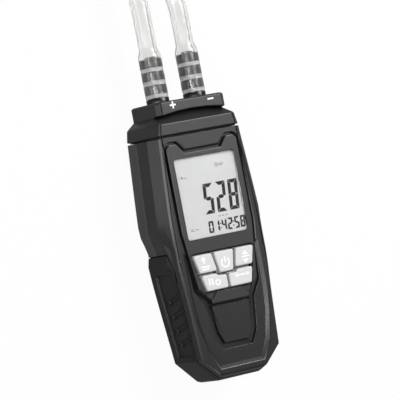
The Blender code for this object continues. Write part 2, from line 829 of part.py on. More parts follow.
def channel_outline():
    """A channel down both sides of the panel's lower half and round the tongue below it."""
    top = BEZEL_FOOT_Y - 1.0
    knee = down_the_field(TONGUE_KNEE_SHARE)
    bottom = down_the_field(TONGUE_BOTTOM_SHARE)
    lap = GROOVE + CHANNEL_LAP
    inner = [
        (bezel_side(FIELD_TOP_Y) - lap, -FIELD_TOP_Y),
        (BEZEL_KEY_HALF - lap, -BEZEL_KEY_Y),
        (BEZEL_FOOT_HALF - lap, -BEZEL_FOOT_Y + 3.0),
        (TONGUE_TOP_HALF, -top - CHANNEL_LAP),
        (TONGUE_KNEE_HALF, -knee),
        (TONGUE_TOE_HALF, -bottom),
    ]
    width = CHANNEL_WIDTH
    outer = [
        (bezel_side(FIELD_TOP_Y), -FIELD_TOP_Y),
        (BEZEL_KEY_HALF + CHANNEL_SIDE, -BEZEL_KEY_Y),
        (TONGUE_TOP_HALF + width, -top),
        (TONGUE_KNEE_HALF + width, -knee - 0.5 * width),
        (TONGUE_TOE_HALF + 0.6 * width, -bottom - width),
    ]
    left_out = [(-x, y) for x, y in reversed(outer)]
    left_in = [(-x, y) for x, y in inner]
    return outer + left_out + left_in + inner[::-1]


def lcd_outline(grow=0.0):
    right = [(LCD_HALF, -LCD_TOP_Y), (LCD_HALF, -LCD_BOTTOM_Y)]
    return offset(rounded(mirrored(right), LCD_ROUND), grow)


def tray_outline(grow=0.0):
    """The outline round all five keys."""
    right = [(KEY_TOP_HALF, -KEY_TOP_Y), (KEY_BOTTOM_HALF, -KEY_BOTTOM_Y)]
    return offset(rounded(mirrored(right), KEY_ROUND), grow)


def key_side(y):
    """Half width of the key field at a distance below the seam."""
    share = (y - KEY_TOP_Y) / (KEY_BOTTOM_Y - KEY_TOP_Y)
    return KEY_TOP_HALF + (KEY_BOTTOM_HALF - KEY_TOP_HALF) * share


def key_outlines():
    """Outlines of the five keys. The left ones mirror the right ones."""
    half_gap = KEY_GAP / 2
    upper_low = KEY_ROW_Y - half_gap
    lower_top = KEY_ROW_Y + half_gap
    power_low = KEY_ROW_Y + POWER_DROP - half_gap
    notch = POWER_BOTTOM_HALF + KEY_GAP
    slope = (POWER_BOTTOM_HALF - POWER_TOP_HALF) / (power_low - KEY_TOP_Y)
    upper_inner = POWER_TOP_HALF + slope * (upper_low - KEY_TOP_Y) + KEY_GAP
    upper = [
        (POWER_TOP_HALF + KEY_GAP, -KEY_TOP_Y),
        (KEY_TOP_HALF, -KEY_TOP_Y),
        (key_side(upper_low), -upper_low),
        (upper_inner, -upper_low),
    ]
    lower = [
        (half_gap, -power_low - KEY_GAP),
        (notch, -power_low - KEY_GAP),
        (notch + POWER_DROP, -lower_top),
        (key_side(lower_top), -lower_top),
        (KEY_BOTTOM_HALF, -KEY_BOTTOM_Y),
        (half_gap, -KEY_BOTTOM_Y),
    ]
    power = mirrored([(POWER_TOP_HALF, -KEY_TOP_Y), (POWER_BOTTOM_HALF, -power_low)])

    def flipped(outline):
        return [(-x, y) for x, y in reversed(outline)]

    return {
        "key_lamp": flipped(upper),
        "key_power": power,
        "key_peak": upper,
        "key_hold": flipped(lower),
        "key_units": lower,
    }


def key(name, outline):
    """A key cap with a flange under the panel that keeps it in, and a short foot over the mat."""
    outline = rounded(outline, KEY_ROUND)
    foot = offset(outline, -KEY_EDGE)
    flange = offset(outline, KEY_FLANGE_OUT)
    flange_low = KEY_FLANGE_Z - KEY_FLANGE
    levels = [
        (KEY_FOOT_Z, foot),
        (flange_low - 0.05, foot),
        (flange_low, flange),
        (KEY_FLANGE_Z, flange),
        (KEY_FLANGE_Z + 0.05, outline),
        (KEY_TOP_Z - KEY_EDGE, outline),
        (KEY_TOP_Z, offset(outline, -KEY_EDGE)),
    ]
    return stack(name, levels, "key_grey")


def bezel_panel():
    """Front panel with the window opening and one opening for the keys."""
    outline = bezel_outline(GROOVE, GROOVE_TOP)
    panel = stack(
        "bezel_panel",
        [
            (BEZEL_LOW_Z, outline),
            (BEZEL_TOP_Z - EDGE / 2, outline),
            (BEZEL_TOP_Z, offset(outline, -EDGE / 2)),
        ],
        "bezel_grey",
    )
    view = stack(
        "window_hole",
        [(BEZEL_LOW_Z - 1.0, lcd_outline()), (BEZEL_TOP_Z + 1.0, lcd_outline())],
        None,
    )
    tray = stack(
        "tray_hole",
        [(BEZEL_LOW_Z - 1.0, tray_outline(GAP)), (BEZEL_TOP_Z + 1.0, tray_outline(GAP))],
        None,
    )
    moat = tray_outline(GAP + TRAY_GROOVE)
    groove = stack(
        "tray_groove", [(BEZEL_TOP_Z - TRAY_GROOVE_DEPTH, moat), (BEZEL_TOP_Z + 1.0, moat)], None
    )
    corners = []
    top = -KEY_BOTTOM_Y
    low = top - GAP - TRAY_GROOVE - TAB_HEIGHT
    for side in (-1, 1):
        right = [(TAB_TOP_HALF, top), (KEY_BOTTOM_HALF, top), (KEY_BOTTOM_HALF, low + 1.4)]
        right += [(TAB_FOOT_HALF + 1.6, low), (TAB_FOOT_HALF, low)]
        corner = [(side * x, y) for x, y in right]
        levels = [(BEZEL_TOP_Z - TAB_SINK, corner), (BEZEL_TOP_Z + 1.0, corner)]
        corners.append(stack("corner", levels, None))
    cut(panel, view, tray, groove, join_parts("sunk_corners", corners))
    return panel


def display():
    pane = lcd_outline(-GAP)
    stack("lcd_window", [(WINDOW_TOP_Z - WINDOW_THICKNESS, pane), (WINDOW_TOP_Z, pane)], "clear_pane")
    body = lcd_outline(MODULE_BORDER)
    shoulder = BEZEL_LOW_Z - GAP
    neck = lcd_outline(-GAP)
    stack(
        "lcd_module",
        [
            (MODULE_LOW_Z, body),
            (shoulder - 0.05, body),
            (shoulder, neck),
            (MODULE_TOP_Z, neck),
        ],
        "display_grey",
    )


def keypad():
    for name, outline in key_outlines().items():
        key(name, outline)
    mat = offset(tray_outline(), MAT_BORDER)
    stack("key_mat", [(MAT_LOW_Z, mat), (MAT_TOP_Z, mat)], "rubber_black")


def cap_ring(y, right, radius, arch=0.0):
    """A ring of the head cap above the seam, from the right-hand corners of its (x, z) section."""
    half, high = right[0]
    front = [(half * share, high) for share in (-0.5, 0.0, 0.5)]
    left = [(-x, z) for x, z in reversed(right)]
    ring = []
    for x, z in rounded(right + left + front, radius):
        rise = arch * (1.0 - (x / half) ** 2) if abs(z - high) < 0.01 else 0.0
        ring.append((x, y + max(rise, 0.0), z))
    return ring


def body_section(y, inset=0.0, taper=0.0):
    """The housing's section at the seam, as the head cap continues it."""
    right = [
        (FRONT_TOP_HALF - inset - taper, FRONT_Z - inset),
        (TOP_HALF - 0.9 - inset - taper, SIDE_HIGH_Z),
        (TOP_HALF - inset - taper, SIDE_LOW_Z),
        (TOP_HALF - BACK_INSET - inset - taper, inset),
    ]
    return cap_ring(y, right, BODY_ROUND)


def block_section(y, inset=0.0, cove=0.0, arch=0.0):
    """The port block's section, sunk at its front by a cove."""
    side, corner = BLOCK_HALF - inset, BLOCK_CORNER
    low, high = BLOCK_LOW_Z + inset, BLOCK_HIGH_Z - inset - cove
    right = [(side - corner, high), (side, high - corner), (side, low + corner), (side - corner, low)]
    return cap_ring(y, right, BLOCK_ROUND, arch)


def head_cap():
    """Head cap: a band flush with the housing, a shoulder, and the port block, open below."""
    inner = [
        block_section(BLOCK_TOP_Y - BLOCK_WALL, BLOCK_WALL, BLOCK_COVE),
        block_section(NECK_Y - 1.0, BLOCK_WALL, BLOCK_COVE),
        body_section(BAND_TOP_Y - 3.0, WALL + GASKET_WIDTH, BAND_TAPER),
        body_section(SEAM + GASKET_SINK, WALL + GASKET_WIDTH),
        body_section(SEAM + GASKET_SINK - 0.1, GASKET_INSET),
        body_section(SEAM, GASKET_INSET),
    ]
    outer = [
        body_section(SEAM, EDGE / 2),
        body_section(SEAM + EDGE / 2),
        body_section(BAND_TOP_Y - EDGE, taper=BAND_TAPER),
        body_section(BAND_TOP_Y, EDGE, BAND_TAPER),
        block_section(NECK_Y, cove=BLOCK_COVE, arch=BLOCK_ARCH),
        block_section(NECK_Y + BLOCK_LIP, arch=BLOCK_ARCH),
        block_section(BLOCK_TOP_Y - EDGE),
        block_section(BLOCK_TOP_Y, EDGE),
    ]
    cap = loft("head_cap", inner + outer, "abs_black")
    holes = [
        turned(
            "port_hole",
            [
                (PORT_STEM_R + GAP, BLOCK_TOP_Y - BLOCK_WALL - 1.0),
                (PORT_STEM_R + GAP, BLOCK_TOP_Y + 1.0),
            ],
            x,
            PORT_Z,
            "y",
            None,
            bored=False,
        )
        for x in (-PORT_X, PORT_X)
    ]
    cut(cap, join_parts("port_holes", holes), edge_lines("cap_lines", -BAND_TOP_Y - 1.0, 0.0))
    corner_lines = []
    for side in (-1, 1):
        x0, x1 = sorted((side * BLOCK_LINE_X, side * (BLOCK_LINE_X - LINE_WIDTH)))
        low = (x0, NECK_Y - 0.2, BLOCK_HIGH_Z - LINE_DEPTH)
        corner_lines.append(box("corner_line", low, (x1, BLOCK_TOP_Y + 1.0, BLOCK_HIGH_Z + 1.0)))
    cut(cap, join_parts("corner_lines", corner_lines))

    gasket = loft(
        "cap_gasket",
        [
            body_section(GAP, GASKET_INSET + GAP),
            body_section(SEAM + GASKET_SINK - GAP - 0.1, GASKET_INSET + GAP),
            body_section(SEAM + GASKET_SINK - GAP - 0.1, GASKET_INSET + GASKET_WIDTH),
            body_section(GAP, GASKET_INSET + GASKET_WIDTH),
        ],
        "rubber_black",
        closed=True,
    )
    return cap, gasket


def ports():
    """Barbed hose nozzles, each held through the cap by a nut."""
    base = BLOCK_TOP_Y + GAP
    roof = BLOCK_TOP_Y - BLOCK_WALL
    for name, x in (("plus", -PORT_X), ("minus", PORT_X)):
        profile = [
            (PORT_COLLAR_R, base),
            (PORT_COLLAR_R, base + PORT_COLLAR - 0.4),
            (PORT_COLLAR_R - 0.4, base + PORT_COLLAR),
            (BARB_ROOT_R, base + PORT_COLLAR),
        ]
        for i in range(BARB_COUNT):
            start = base + PORT_COLLAR + i * BARB_PITCH
            profile += [
                (BARB_ROOT_R, start + BARB_POCKET),
                (BARB_R, start + BARB_POCKET + 0.3),
                (BARB_R, start + 0.5 * BARB_PITCH),
                (BARB_NECK_R, start + BARB_PITCH),
                (BARB_ROOT_R, start + BARB_PITCH + 0.1),
            ]
        profile += [
            (BARB_ROOT_R - 0.5, PORT_TIP_Y),
            (PORT_BORE_R, PORT_TIP_Y),
            (PORT_BORE_R - 0.5, roof - NUT_HEIGHT - STUB_LENGTH),
            (STUB_R, roof - NUT_HEIGHT - STUB_LENGTH),
            (STUB_R, roof - NUT_HEIGHT - 1.5),
            (PORT_STEM_R, roof - NUT_HEIGHT - 1.5),
            (PORT_STEM_R, base),
        ]
        turned(f"nozzle_{name}", profile, x, PORT_Z, "y", "nozzle_black")
        nut = [
            (PORT_STEM_R + GAP, roof - GAP),
            (PORT_STEM_R + GAP, roof - GAP - NUT_HEIGHT),
            (NUT_R, roof - GAP - NUT_HEIGHT),
            (NUT_R, roof - GAP),
        ]
        turned(f"nozzle_nut_{name}", nut, x, PORT_Z, "y", "nozzle_black")


def boot_level(z, sink):
    """The boot's U-shaped outline at a height, sunk between the ends of its grip panels."""
    stations = {y for y in BODY_STATIONS if y > BOOT_TOP_Y + GAP}
    stations |= {BOOT_TOP_Y + 2 * GAP, GRIP_TOP_Y + GRIP_SINK}
    stations |= {GRIP_BOTTOM_Y - GRIP_SINK, GRIP_BOTTOM_Y}
    stations = sorted(stations)
    share = front_share(z)
    drop = boot_drop(z)
    outer = body_right(share, back_inset(z), stations=stations, drop=drop)
    for i, station in enumerate(stations):
        if GRIP_TOP_Y < station < GRIP_BOTTOM_Y:
            outer[i] = (outer[i][0] - sink, outer[i][1])
    inner = body_right(share, back_inset(z) + BOOT_WALL, stations=stations, drop=drop)
    left_outer = [(-x, y) for x, y in reversed(outer)]
    left_inner = [(-x, y) for x, y in inner]
    return outer + left_outer + left_inner + inner[::-1]


def grip_boot():
    """Rubber boot round the sides and foot, with curved finger grooves in sunk side panels."""
    top = BOOT_HIGH_Z - 0.1 - GAP
    heights = [
        (BOOT_LOW_Z + 2 * GAP, 0.0),
        (SIDE_LOW_Z, 0.0),
        (GRIP_LOW_Z, 0.0),
        (GRIP_LOW_Z + 0.9, GRIP_SINK),
        (SIDE_HIGH_Z, GRIP_SINK),
        (top, GRIP_SINK),
    ]
    boot = stack("grip_boot", [(z, boot_level(z, sink)) for z, sink in heights], "rubber_black")
    grooves = []
    steps = 7
    for side in (-1, 1):
        for i in range(RIB_COUNT):
            points = []
            for k in range(steps):
                t = k / (steps - 1)
                z = GRIP_LOW_Z + 3.0 + t * (top - GRIP_LOW_Z)
                y = RIB_FIRST_Y + i * RIB_PITCH - RIB_RISE * t * t
                half = between(SIDE_TABLE, y)
                half += (between(FRONT_TABLE, y) - half) * front_share(min(z, top))
                x = half - GRIP_SINK - RIB_DEPTH + RIB_R
                points.append((side * x, -y, z))
            grooves.append(pipe("groove", points, RIB_R, 0.0, None, sides=8))
    apply_boolean(boot, join_parts("finger_grooves", grooves), "DIFFERENCE", self_crossing=True)
    return boot


def electronics():
    """Main board, pressure sensor, and the two tubes from the nozzles to it."""
    box(
        "main_board",
        (-BOARD_HALF, -BOARD_BOTTOM_Y, BOARD_LOW_Z),
        (BOARD_HALF, -BOARD_TOP_Y, BOARD_TOP_Z),
        "board_green",
    )
    sensor_top = BOARD_LOW_Z - GAP
    sensor_z = sensor_top - SENSOR_HEIGHT / 2
    sensor = box(
        "pressure_sensor",
        (-SENSOR_HALF, -SENSOR_Y - SENSOR_LENGTH, sensor_top - SENSOR_HEIGHT),
        (SENSOR_HALF, -SENSOR_Y, sensor_top),
        "chip_black",
    )
    stubs = []
    bore = STUB_R - 0.9
    for x in (-SENSOR_PORT_X, SENSOR_PORT_X):
        stubs.append(
            turned(
                "sensor_port",
                [
                    (STUB_R, -SENSOR_Y - 1.0),
                    (STUB_R, -SENSOR_Y + SENSOR_PORT_LENGTH),
                    (bore, -SENSOR_Y + SENSOR_PORT_LENGTH),
                    (bore, -SENSOR_Y - 1.0),
                ],
                x,
                sensor_z,
                "y",
                None,
                sides=12,
            )
        )
    add(sensor, join_parts("sensor_ports", stubs))
    stub_top = BLOCK_TOP_Y - BLOCK_WALL - NUT_HEIGHT - 1.5 - GAP
    for name, side in (("plus", -1), ("minus", 1)):
        route = [
            (side * PORT_X, stub_top, PORT_Z),
            (side * PORT_X, stub_top - STUB_LENGTH, PORT_Z),
            (side * (PORT_X * 0.85 + SENSOR_PORT_X * 0.15), -1.0, PORT_Z + 0.15 * (sensor_z - PORT_Z)),
            (side * (PORT_X + SENSOR_PORT_X) / 2, -5.0, (PORT_Z + sensor_z) / 2),
            (side * (PORT_X * 0.15 + SENSOR_PORT_X * 0.85), -9.0, sensor_z + 0.15 * (PORT_Z - sensor_z)),
            (side * SENSOR_PORT_X, -SENSOR_Y + SENSOR_PORT_LENGTH, sensor_z),
            (side * SENSOR_PORT_X, -SENSOR_Y + GAP, sensor_z),
        ]
        pipe(f"sensor_tube_{name}", route, SENSOR_TUBE_R, SENSOR_TUBE_R - SENSOR_TUBE_WALL, "hose_clear")


def bay_inner_half():
    return (CELL_COUNT - 1) * CELL_PITCH / 2 + CELL_R + 0.6


def bay_roof_z():
    return COVER_THICKNESS + 2 * CELL_R + 3 * GAP


def cover_outline(grow=0.0):
    half = bay_inner_half() + COVER_LEDGE
    top = COVER_SCREW_Y - SCREW_HEAD_R - 1.2
    bottom = BAY_BOTTOM_Y + COVER_LEDGE
    return offset([(half, -top), (-half, -top), (-half, -bottom), (half, -bottom)], grow)


def battery_bay():
    """Cells, springs and contacts under a screwed cover."""
    lid = cover_outline()
    cover = stack("battery_cover", [(0.0, lid), (COVER_THICKNESS, lid)], "abs_black")
    cut(
        cover,
        turned(
            "cover_screw_hole",
            [
                (SCREW_HEAD_R + GAP, -1.0),
                (SCREW_HEAD_R + GAP, COVER_THICKNESS * 0.6),
                (SCREW_R + GAP, COVER_THICKNESS * 0.6),
                (SCREW_R + GAP, COVER_THICKNESS + 1.0),
            ],
            0.0,
            -COVER_SCREW_Y,
            "z",
            None,
            sides=12,
            bored=False,
        ),
    )
    screw("battery_cover_screw", 0.0, -COVER_SCREW_Y, 0.1, COVER_THICKNESS * 0.6 - GAP - 0.1,
          COVER_THICKNESS + COVER_SCREW_BITE)
    cell_z = COVER_THICKNESS + GAP + CELL_R
    contact_y = -BAY_BOTTOM_Y + GAP + CONTACT_THICKNESS
    cell_low = contact_y + GAP + CELL_NUB
    cell_high = cell_low + CELL_LENGTH
    for i in range(CELL_COUNT):
        x = (i - (CELL_COUNT - 1) / 2) * CELL_PITCH
        profile = [
            (CELL_R * 0.45, cell_low - CELL_NUB),
            (CELL_R * 0.45, cell_low),
            (CELL_R - 0.4, cell_low),
            (CELL_R, cell_low + 0.4),
            (CELL_R, cell_high - 0.4),
            (CELL_R - 0.4, cell_high),
        ]
        turned(f"battery_{i + 1}", profile, x, cell_z, "y", "cell_jacket", bored=False)
        reach = CELL_R * 0.7
        box(
            f"battery_contact_{i + 1}",
            (x - reach, -BAY_BOTTOM_Y + GAP, cell_z - reach),
            (x + reach, contact_y, cell_z + reach),
            "spring_steel",
        )
        start = cell_high + GAP + SPRING_WIRE_R
        end = -BAY_TOP_Y - GAP - SPRING_WIRE_R
        turns = SPRING_TURNS * 9
        points = []
        for k in range(turns + 1):
            t = k / turns
            a = 2 * math.pi * SPRING_TURNS * t
            r = SPRING_R * (0.55 + 0.45 * t)
            points.append((x + r * math.cos(a), start + (end - start) * t, cell_z + r * math.sin(a)))
        pipe(f"battery_spring_{i + 1}", points, SPRING_WIRE_R, 0.0, "spring_steel", sides=5)


def screw(name, x, y, z, head, tip):
    """A round-headed screw that enters upwards, with its head at the back."""
    profile = [(SCREW_HEAD_R, z), (SCREW_HEAD_R, z + head), (SCREW_R, z + head), (SCREW_R, tip - 0.8),
               (SCREW_R * 0.5, tip)]
    turned(name, profile, x, y, "z", "screw_steel", sides=12, bored=False)


def rear_screws():
    for i, (x, y) in enumerate(screw_places()):
        z = SCREW_SINK - GAP
        screw(f"rear_screw_{i + 1}", x, y, z, SCREW_HEAD, SPLIT_Z + SCREW_BITE - GAP)


def smooth_route(points, per_span):
    """Points along a smooth curve through a route's own points."""
    ends = [points[0]] + points + [points[-1]]
    route = []
    for i in range(1, len(ends) - 2):
        p0, p1, p2, p3 = (Vector(ends[i + k]) for k in (-1, 0, 1, 2))
        for k in range(per_span):
            t = k / per_span
            route.append(
                0.5
                * (
                    2 * p1
                    + (p2 - p0) * t
                    + (2 * p0 - 5 * p1 + 4 * p2 - p3) * t * t
                    + (3 * p1 - p0 - 3 * p2 + p3) * t ** 3
                )
            )
    route.append(Vector(points[-1]))
    return route


HOSE_LIE = HOSE_R + 0.1  # height of a hose's centre where it lies
HOSE_START = SLEEVE_END_Y + GAP
HOSE_ROUTES = {
    "plus": [
        (-PORT_X, HOSE_START, PORT_Z),
        (-PORT_X, 62.0, PORT_Z),
        (-12.2, 76.0, 16.6),
        (-13.6, 88.0, 15.2),
        (-17.4, 101.0, 12.6),
        (-23.7, 115.0, 9.6),
        (-30.5, 128.0, 7.2),
        (-36.2, 142.0, 5.6),
        (-39.5, 157.0, HOSE_LIE),
        (-40.5, 173.0, HOSE_LIE),
        (-40.5, 191.0, HOSE_LIE),
        (-40.5, 208.0, HOSE_LIE),
        (-37.4, 223.5, HOSE_LIE),
        (-28.6, 236.6, HOSE_LIE),
        (-15.5, 245.4, HOSE_LIE),
        (0.0, 248.5, HOSE_LIE),
        (15.5, 245.4, HOSE_LIE),
        (28.6, 236.6, HOSE_LIE),
        (37.4, 223.5, HOSE_LIE),
        (40.5, 208.0, HOSE_LIE),
        (40.5, 183.0, HOSE_LIE),
        (40.5, 158.0, HOSE_LIE),
        (40.5, 133.0, HOSE_LIE),
        (40.5, 108.0, HOSE_LIE),
    ],
    "minus": [
        (PORT_X, HOSE_START, PORT_Z),
        (PORT_X, 61.0, PORT_Z),
        (11.7, 74.0, 16.6),
        (8.9, 87.0, 15.2),
        (2.8, 100.5, 12.8),
        (-5.6, 114.0, 10.0),
        (-14.6, 127.0, 7.5),
        (-22.4, 141.0, 5.8),
        (-28.0, 156.0, HOSE_LIE),
        (-30.2, 172.0, HOSE_LIE),
        (-30.2, 190.0, HOSE_LIE),
        (-30.2, 208.0, HOSE_LIE),
        (-27.9, 219.6, HOSE_LIE),
        (-21.4, 229.4, HOSE_LIE),
        (-11.6, 235.9, HOSE_LIE),
        (0.0, 238.2, HOSE_LIE),
        (11.6, 235.9, HOSE_LIE),
        (21.4, 229.4, HOSE_LIE),
        (27.9, 219.6, HOSE_LIE),
        (30.2, 208.0, HOSE_LIE),
        (30.2, 184.0, HOSE_LIE),
        (30.2, 160.0, HOSE_LIE),
        (30.2, 136.0, HOSE_LIE),
        (30.2, 112.0, HOSE_LIE),
        (30.2, 85.0, HOSE_LIE),
    ],
}


def hoses():
    """Hose ends stretched over the barbs, and the hoses, folded side by side past the ports."""
    for name, x in (("plus", -PORT_X), ("minus", PORT_X)):
        profile = [
            (BARB_R + GAP, SLEEVE_LOW_Y),
            (SLEEVE_R, SLEEVE_LOW_Y),
            (SLEEVE_R, PORT_TIP_Y - 1.0),
            (HOSE_R, SLEEVE_END_Y),
            (HOSE_BORE_R, SLEEVE_END_Y),
            (BARB_R + GAP, PORT_TIP_Y + GAP),
        ]
        turned(f"hose_end_{name}", profile[::-1], x, PORT_Z, "y", "hose_clear")
        points = smooth_route(HOSE_ROUTES[name], 2)
        curve = bpy.data.curves.new(f"hose_{name}", "CURVE")
        curve.dimensions = "3D"
        curve.bevel_depth = HOSE_R * MM
        curve.bevel_resolution = HOSE_SIDES
        curve.use_fill_caps = True
        spline = curve.splines.new("POLY")
        spline.points.add(len(points) - 1)
        for point, p in zip(spline.points, points):
            point.co = (*place(*p), 1.0)
        made = bpy.data.objects.new(f"hose_{name}", curve)
        bpy.context.scene.collection.objects.link(made)
        curve.materials.append(finish("hose_clear"))


def main():
    clear_scene()
    front_shell()
    rear_shell()
    head_cap()
    grip_boot()
    bezel_panel()
    display()
    keypad()
    ports()
    electronics()
    battery_bay()
    rear_screws()
    hoses()


main()
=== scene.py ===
import math

import bmesh
import bpy
from mathutils import Matrix, Vector


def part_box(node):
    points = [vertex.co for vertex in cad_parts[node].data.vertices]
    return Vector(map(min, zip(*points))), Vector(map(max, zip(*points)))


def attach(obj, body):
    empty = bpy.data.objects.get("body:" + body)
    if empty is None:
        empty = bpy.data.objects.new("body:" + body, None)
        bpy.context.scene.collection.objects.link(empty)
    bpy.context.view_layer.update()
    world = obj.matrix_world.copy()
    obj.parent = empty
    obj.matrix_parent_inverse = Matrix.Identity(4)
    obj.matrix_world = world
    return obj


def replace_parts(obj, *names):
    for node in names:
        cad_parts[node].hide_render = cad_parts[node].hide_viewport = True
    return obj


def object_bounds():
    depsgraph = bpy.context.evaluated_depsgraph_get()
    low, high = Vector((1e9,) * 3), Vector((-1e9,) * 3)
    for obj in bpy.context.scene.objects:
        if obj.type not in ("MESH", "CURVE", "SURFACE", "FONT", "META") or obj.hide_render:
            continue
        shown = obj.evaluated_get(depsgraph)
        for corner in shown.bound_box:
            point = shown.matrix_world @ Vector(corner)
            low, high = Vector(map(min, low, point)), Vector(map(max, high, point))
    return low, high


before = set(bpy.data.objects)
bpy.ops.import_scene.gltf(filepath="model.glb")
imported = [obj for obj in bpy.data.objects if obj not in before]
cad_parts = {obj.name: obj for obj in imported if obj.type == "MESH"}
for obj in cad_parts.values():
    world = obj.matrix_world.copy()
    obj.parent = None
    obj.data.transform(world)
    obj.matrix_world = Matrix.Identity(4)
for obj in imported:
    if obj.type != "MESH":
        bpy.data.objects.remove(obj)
cadLow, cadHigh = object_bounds()
mm = 0.001
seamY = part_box("front_shell")[1][1] / mm


def place(x, y, z):
    return Vector((x * mm, (y + seamY) * mm, z * mm))


def boxOf(node):
    # a node's lowest and highest corners in millimetres, y from the seam
    low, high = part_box(node)
    return [Vector((p[0] / mm, p[1] / mm - seamY, p[2] / mm)) for p in (low, high)]


def addNode(tree, kind, settings=None, links=None):
    node = tree.nodes.new(kind)
    for name, value in (settings or {}).items():
        if isinstance(name, int) or name in node.inputs:
            node.inputs[name].default_value = value
        else:
            setattr(node, name, value)
    for name, socket in (links or {}).items():
        tree.links.new(socket, node.inputs[name])
    return node


def linear(hexColour):
    channels = [int(hexColour[i:i + 2], 16) / 255 for i in (1, 3, 5)]
    return [c / 12.92 if c <= 0.04045 else ((c + 0.055) / 1.055) ** 2.4 for c in channels] + [1.0]


# Materials: grain, bump, cloud and the reach of the painted shade are in millimetres

def newMaterial(name):
    # an empty material, its tree and the socket that its shader goes to
    material = bpy.data.materials.new(name)
    material.use_nodes = True
    tree = material.node_tree
    tree.nodes.clear()
    return material, tree, addNode(tree, "ShaderNodeOutputMaterial").inputs["Surface"]


# each plastic's share in hollows is what the painted shade leaves of its colour in the deepest grooves
plastics = {
    # ABS from a spark-eroded mould: an even satin with a fine grain, charcoal rather than black
    "absSatin": {
        "dark": "#242425", "light": "#2b2b2c", "roughness": 0.33, "grain": 0.9, "bump": 0.03,
        "hollow": 0.25, "slot": "abs_black",
    },
    # the rear half's ABS, rougher and with a coarser grain, and painted lighter than the front's ABS:
    # painted light for the brighter light along the lower side, near the floor
    "absRearPaintedLight": {
        "dark": "#3b3b3c", "light": "#444445", "roughness": 0.42, "grain": 1.3, "bump": 0.05,
        "hollow": 0.25, "slot": "abs_black",
    },
    # the front panel's ABS, a touch lighter than the housing
    "absPanel": {
        "dark": "#2e2e2f", "light": "#343535", "roughness": 0.36, "grain": 0.7, "bump": 0.02,
        "hollow": 0.3, "slot": "bezel_grey",
    },
    # soft thermoplastic rubber moulded over the housing, dull and nearly black
    "rubberBoot": {
        "dark": "#101011", "light": "#171718", "roughness": 0.46, "grain": 1.1, "bump": 0.04,
        "hollow": 0.2, "slot": "rubber_black",
    },
    # glass-filled nylon, turned smooth: darker and glossier than the ABS
    "nylonBlack": {
        "dark": "#0f0f10", "light": "#151516", "roughness": 0.26, "grain": 0.6, "bump": 0.02,
        "hollow": 1.0, "slot": "nozzle_black",
    },
    # key caps in pale grey silicone rubber with a lacquered top
    "keyGrey": {
        "dark": "#cdcdce", "light": "#d5d5d6", "roughness": 0.5, "grain": 0.8, "bump": 0.02,
        "hollow": 0.75, "slot": "key_grey",
    },
    # grey silicone mat under the keys, soft and without gloss
    "siliconeMat": {
        "dark": "#6a6a6b", "light": "#747475", "roughness": 0.66, "grain": 0.9, "bump": 0.03,
        "hollow": 0.5, "slot": "rubber_black",
    },
    # gasket of black foam rubber
    "gasketRubber": {
        "dark": "#131314", "light": "#1a1a1c", "roughness": 0.7, "grain": 0.7, "bump": 0.05,
        "hollow": 0.5, "slot": "rubber_black",
    },
    # moulded epoxy of the pressure sensor's body
    "epoxyBlack": {
        "dark": "#161616", "light": "#202020", "roughness": 0.45, "grain": 0.5, "bump": 0.03,
        "hollow": 1.0, "slot": "chip_black",
    },
}
# the reach and range of the painted shade that darkens grooves and corners, with the cloud, grain and
# bump
plasticSpec = {
    "cloud": 22.0, "paintedShadeOcclusion": 5.0, "closed": 0.4, "open": 0.88, "glossSpread": 0.05,
    "bumpStrength": 0.5,
}


def makePlastic(name, spec):
    shared = plasticSpec
    material, tree, surface = newMaterial(name)
    where = addNode(tree, "ShaderNodeTexCoord").outputs["Object"]
    grain = addNode(
        tree, "ShaderNodeTexNoise", {"Scale": 1000 / spec["grain"], "Detail": 3.0}, {"Vector": where}
    )
    cloud = addNode(
        tree, "ShaderNodeTexNoise", {"Scale": 1000 / shared["cloud"], "Detail": 2.0}, {"Vector": where}
    )
    colour = addNode(
        tree,
        "ShaderNodeMix",
        {"data_type": "RGBA", 6: linear(spec["dark"]), 7: linear(spec["light"])},
        {0: cloud.outputs["Fac"]},
    )
    # painted shade: the colour is darkened in grooves and inner corners, where ambient occlusion finds
    # little open space, down to each plastic's painted shade share
    paintedShadeOcclusion = addNode(
        tree, "ShaderNodeAmbientOcclusion", {"samples": 8, "Distance": shared["paintedShadeOcclusion"] * mm}
    )
    paintedShadeFactor = addNode(
        tree,
        "ShaderNodeMapRange",
        {"From Min": shared["closed"], "From Max": shared["open"], "To Min": spec["hollow"]},
        {"Value": paintedShadeOcclusion.outputs["AO"]},
    )
    shade = addNode(
        tree,
        "ShaderNodeMix",
        {"data_type": "RGBA", "blend_type": "MULTIPLY", 0: 1.0},
        {6: colour.outputs[2], 7: paintedShadeFactor.outputs[0]},
    )
    polish = addNode(
        tree,
        "ShaderNodeMapRange",
        {
            "To Min": spec["roughness"] - shared["glossSpread"],
            "To Max": spec["roughness"] + shared["glossSpread"],
        },
        {"Value": grain.outputs["Fac"]},
    )
    bump = addNode(
        tree,
        "ShaderNodeBump",
        {"Strength": shared["bumpStrength"], "Distance": spec["bump"] * mm},
        {"Height": grain.outputs["Fac"]},
    )
    shader = addNode(
        tree,
        "ShaderNodeBsdfPrincipled",
        {"IOR": 1.5},
        {
            "Base Color": shade.outputs[2],
            "Roughness": polish.outputs[0],
            "Normal": bump.outputs[0],
        },
    )
    tree.links.new(shader.outputs[0], surface)
    return material


# the milky share is the transmission weight under the painted highlight over each air pocket
clearPvcSpec = {
    "colour": "#f6f6f5", "clear": 0.93, "paintedHighlight": 0.6, "smooth": 0.08, "rough": 0.2,
    "waves": (40.0, 6.0, 1.0), "bumpStrength": 0.25, "bump": 0.1,
}


